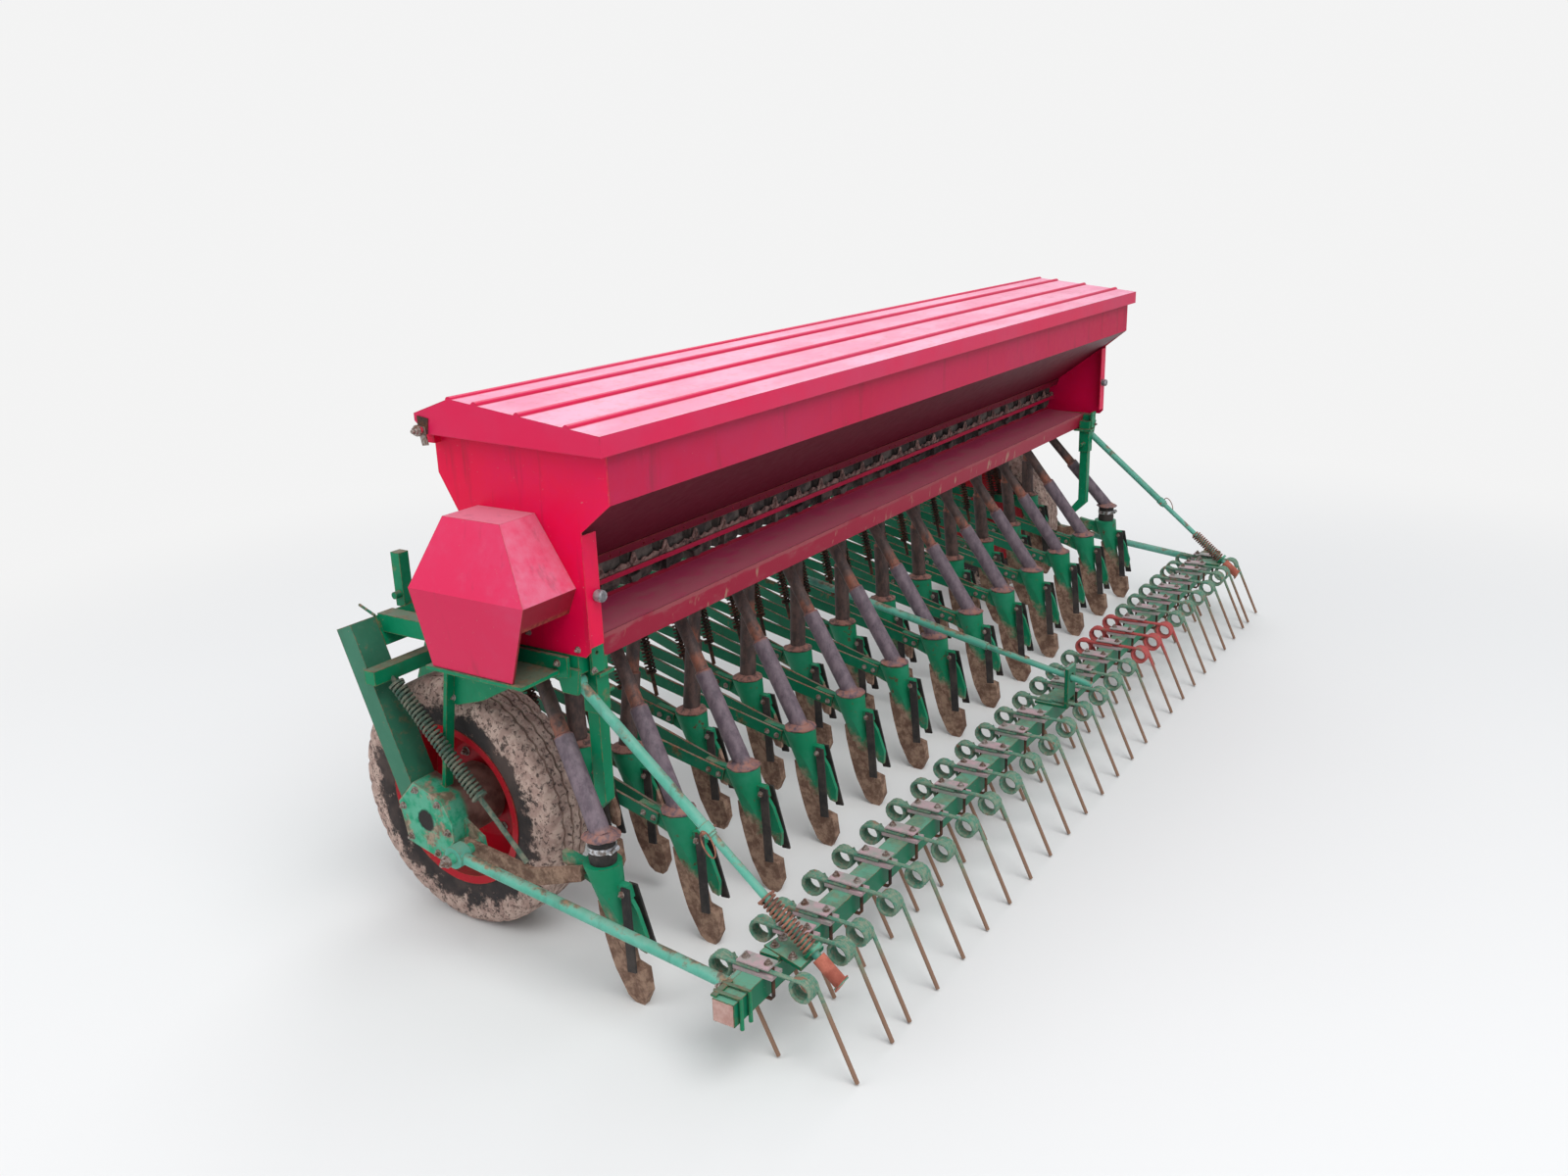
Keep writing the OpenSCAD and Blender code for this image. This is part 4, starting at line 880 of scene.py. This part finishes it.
# Floor and light: a pale studio floor that runs to the horizon and turns evenly white there, a broad
# soft key from high over the camera's right shoulder, weaker lamps from its left and from beyond the
# machine, and an even pale surround.
bpy.context.scene.view_settings.view_transform = "Standard"
floor_mesh = bpy.data.meshes.new("floor")
floor_half = 30
corners = [(x * floor_half, y * floor_half, 0) for x, y in ((-1, -1), (1, -1), (1, 1), (-1, 1))]
floor_mesh.from_pydata(corners, [], [(0, 1, 2, 3)])
floor = bpy.data.objects.new("floor", floor_mesh)
bpy.context.scene.collection.objects.link(floor)
paper = Finish("floor_paper", "floor", Specular_IOR_Level=0.0, Emission_Strength=1.0)
white, no_light = (0.90, 0.90, 0.90, 1), (0, 0, 0, 1)
distance = paper.add("VectorMath", {"operation": "LENGTH"}, paper.coordinates(), out=1)
seen = paper.add("LightPath", None, out="Is Camera Ray")
far_off = paper.step(distance, 1.8, 4.2) * seen
paper.dress(paper.mix(far_off, tone(228, 228, 227), no_light), 0.95,
            Emission_Color=paper.mix(far_off, no_light, white))
floor_mesh.materials.append(paper.material)
lit_middle = Vector((0, 0.1, 0.4))
lamps = (("key", (-2.5, -3.5, 6.5), 5.0, 330),
         ("fill", (-5.0, 3.0, 3.5), 4.0, 90),
         ("rim", (4.5, 2.5, 5.0), 4.0, 110))
for name, place, size, power in lamps:
    lamp = bpy.data.objects.new(name, bpy.data.lights.new(name, "AREA"))
    lamp.data.size = size
    lamp.data.energy = power
    lamp.location = place
    lamp.rotation_euler = (lit_middle - Vector(place)).to_track_quat("-Z", "Y").to_euler()
    bpy.context.scene.collection.objects.link(lamp)
world = bpy.data.worlds.new("studio")
bpy.context.scene.world = world
world.use_nodes = True
sky = world.node_tree
backdrop = sky.nodes.new("ShaderNodeMix")
backdrop.data_type = "RGBA"
surround = (0.55, 0.57, 0.60, 1)
backdrop.inputs["A"].default_value = surround
backdrop.inputs["B"].default_value = white
sky.links.new(sky.nodes.new("ShaderNodeLightPath").outputs["Is Camera Ray"], backdrop.inputs["Factor"])
sky.links.new(backdrop.outputs["Result"], sky.nodes["Background"].inputs["Color"])
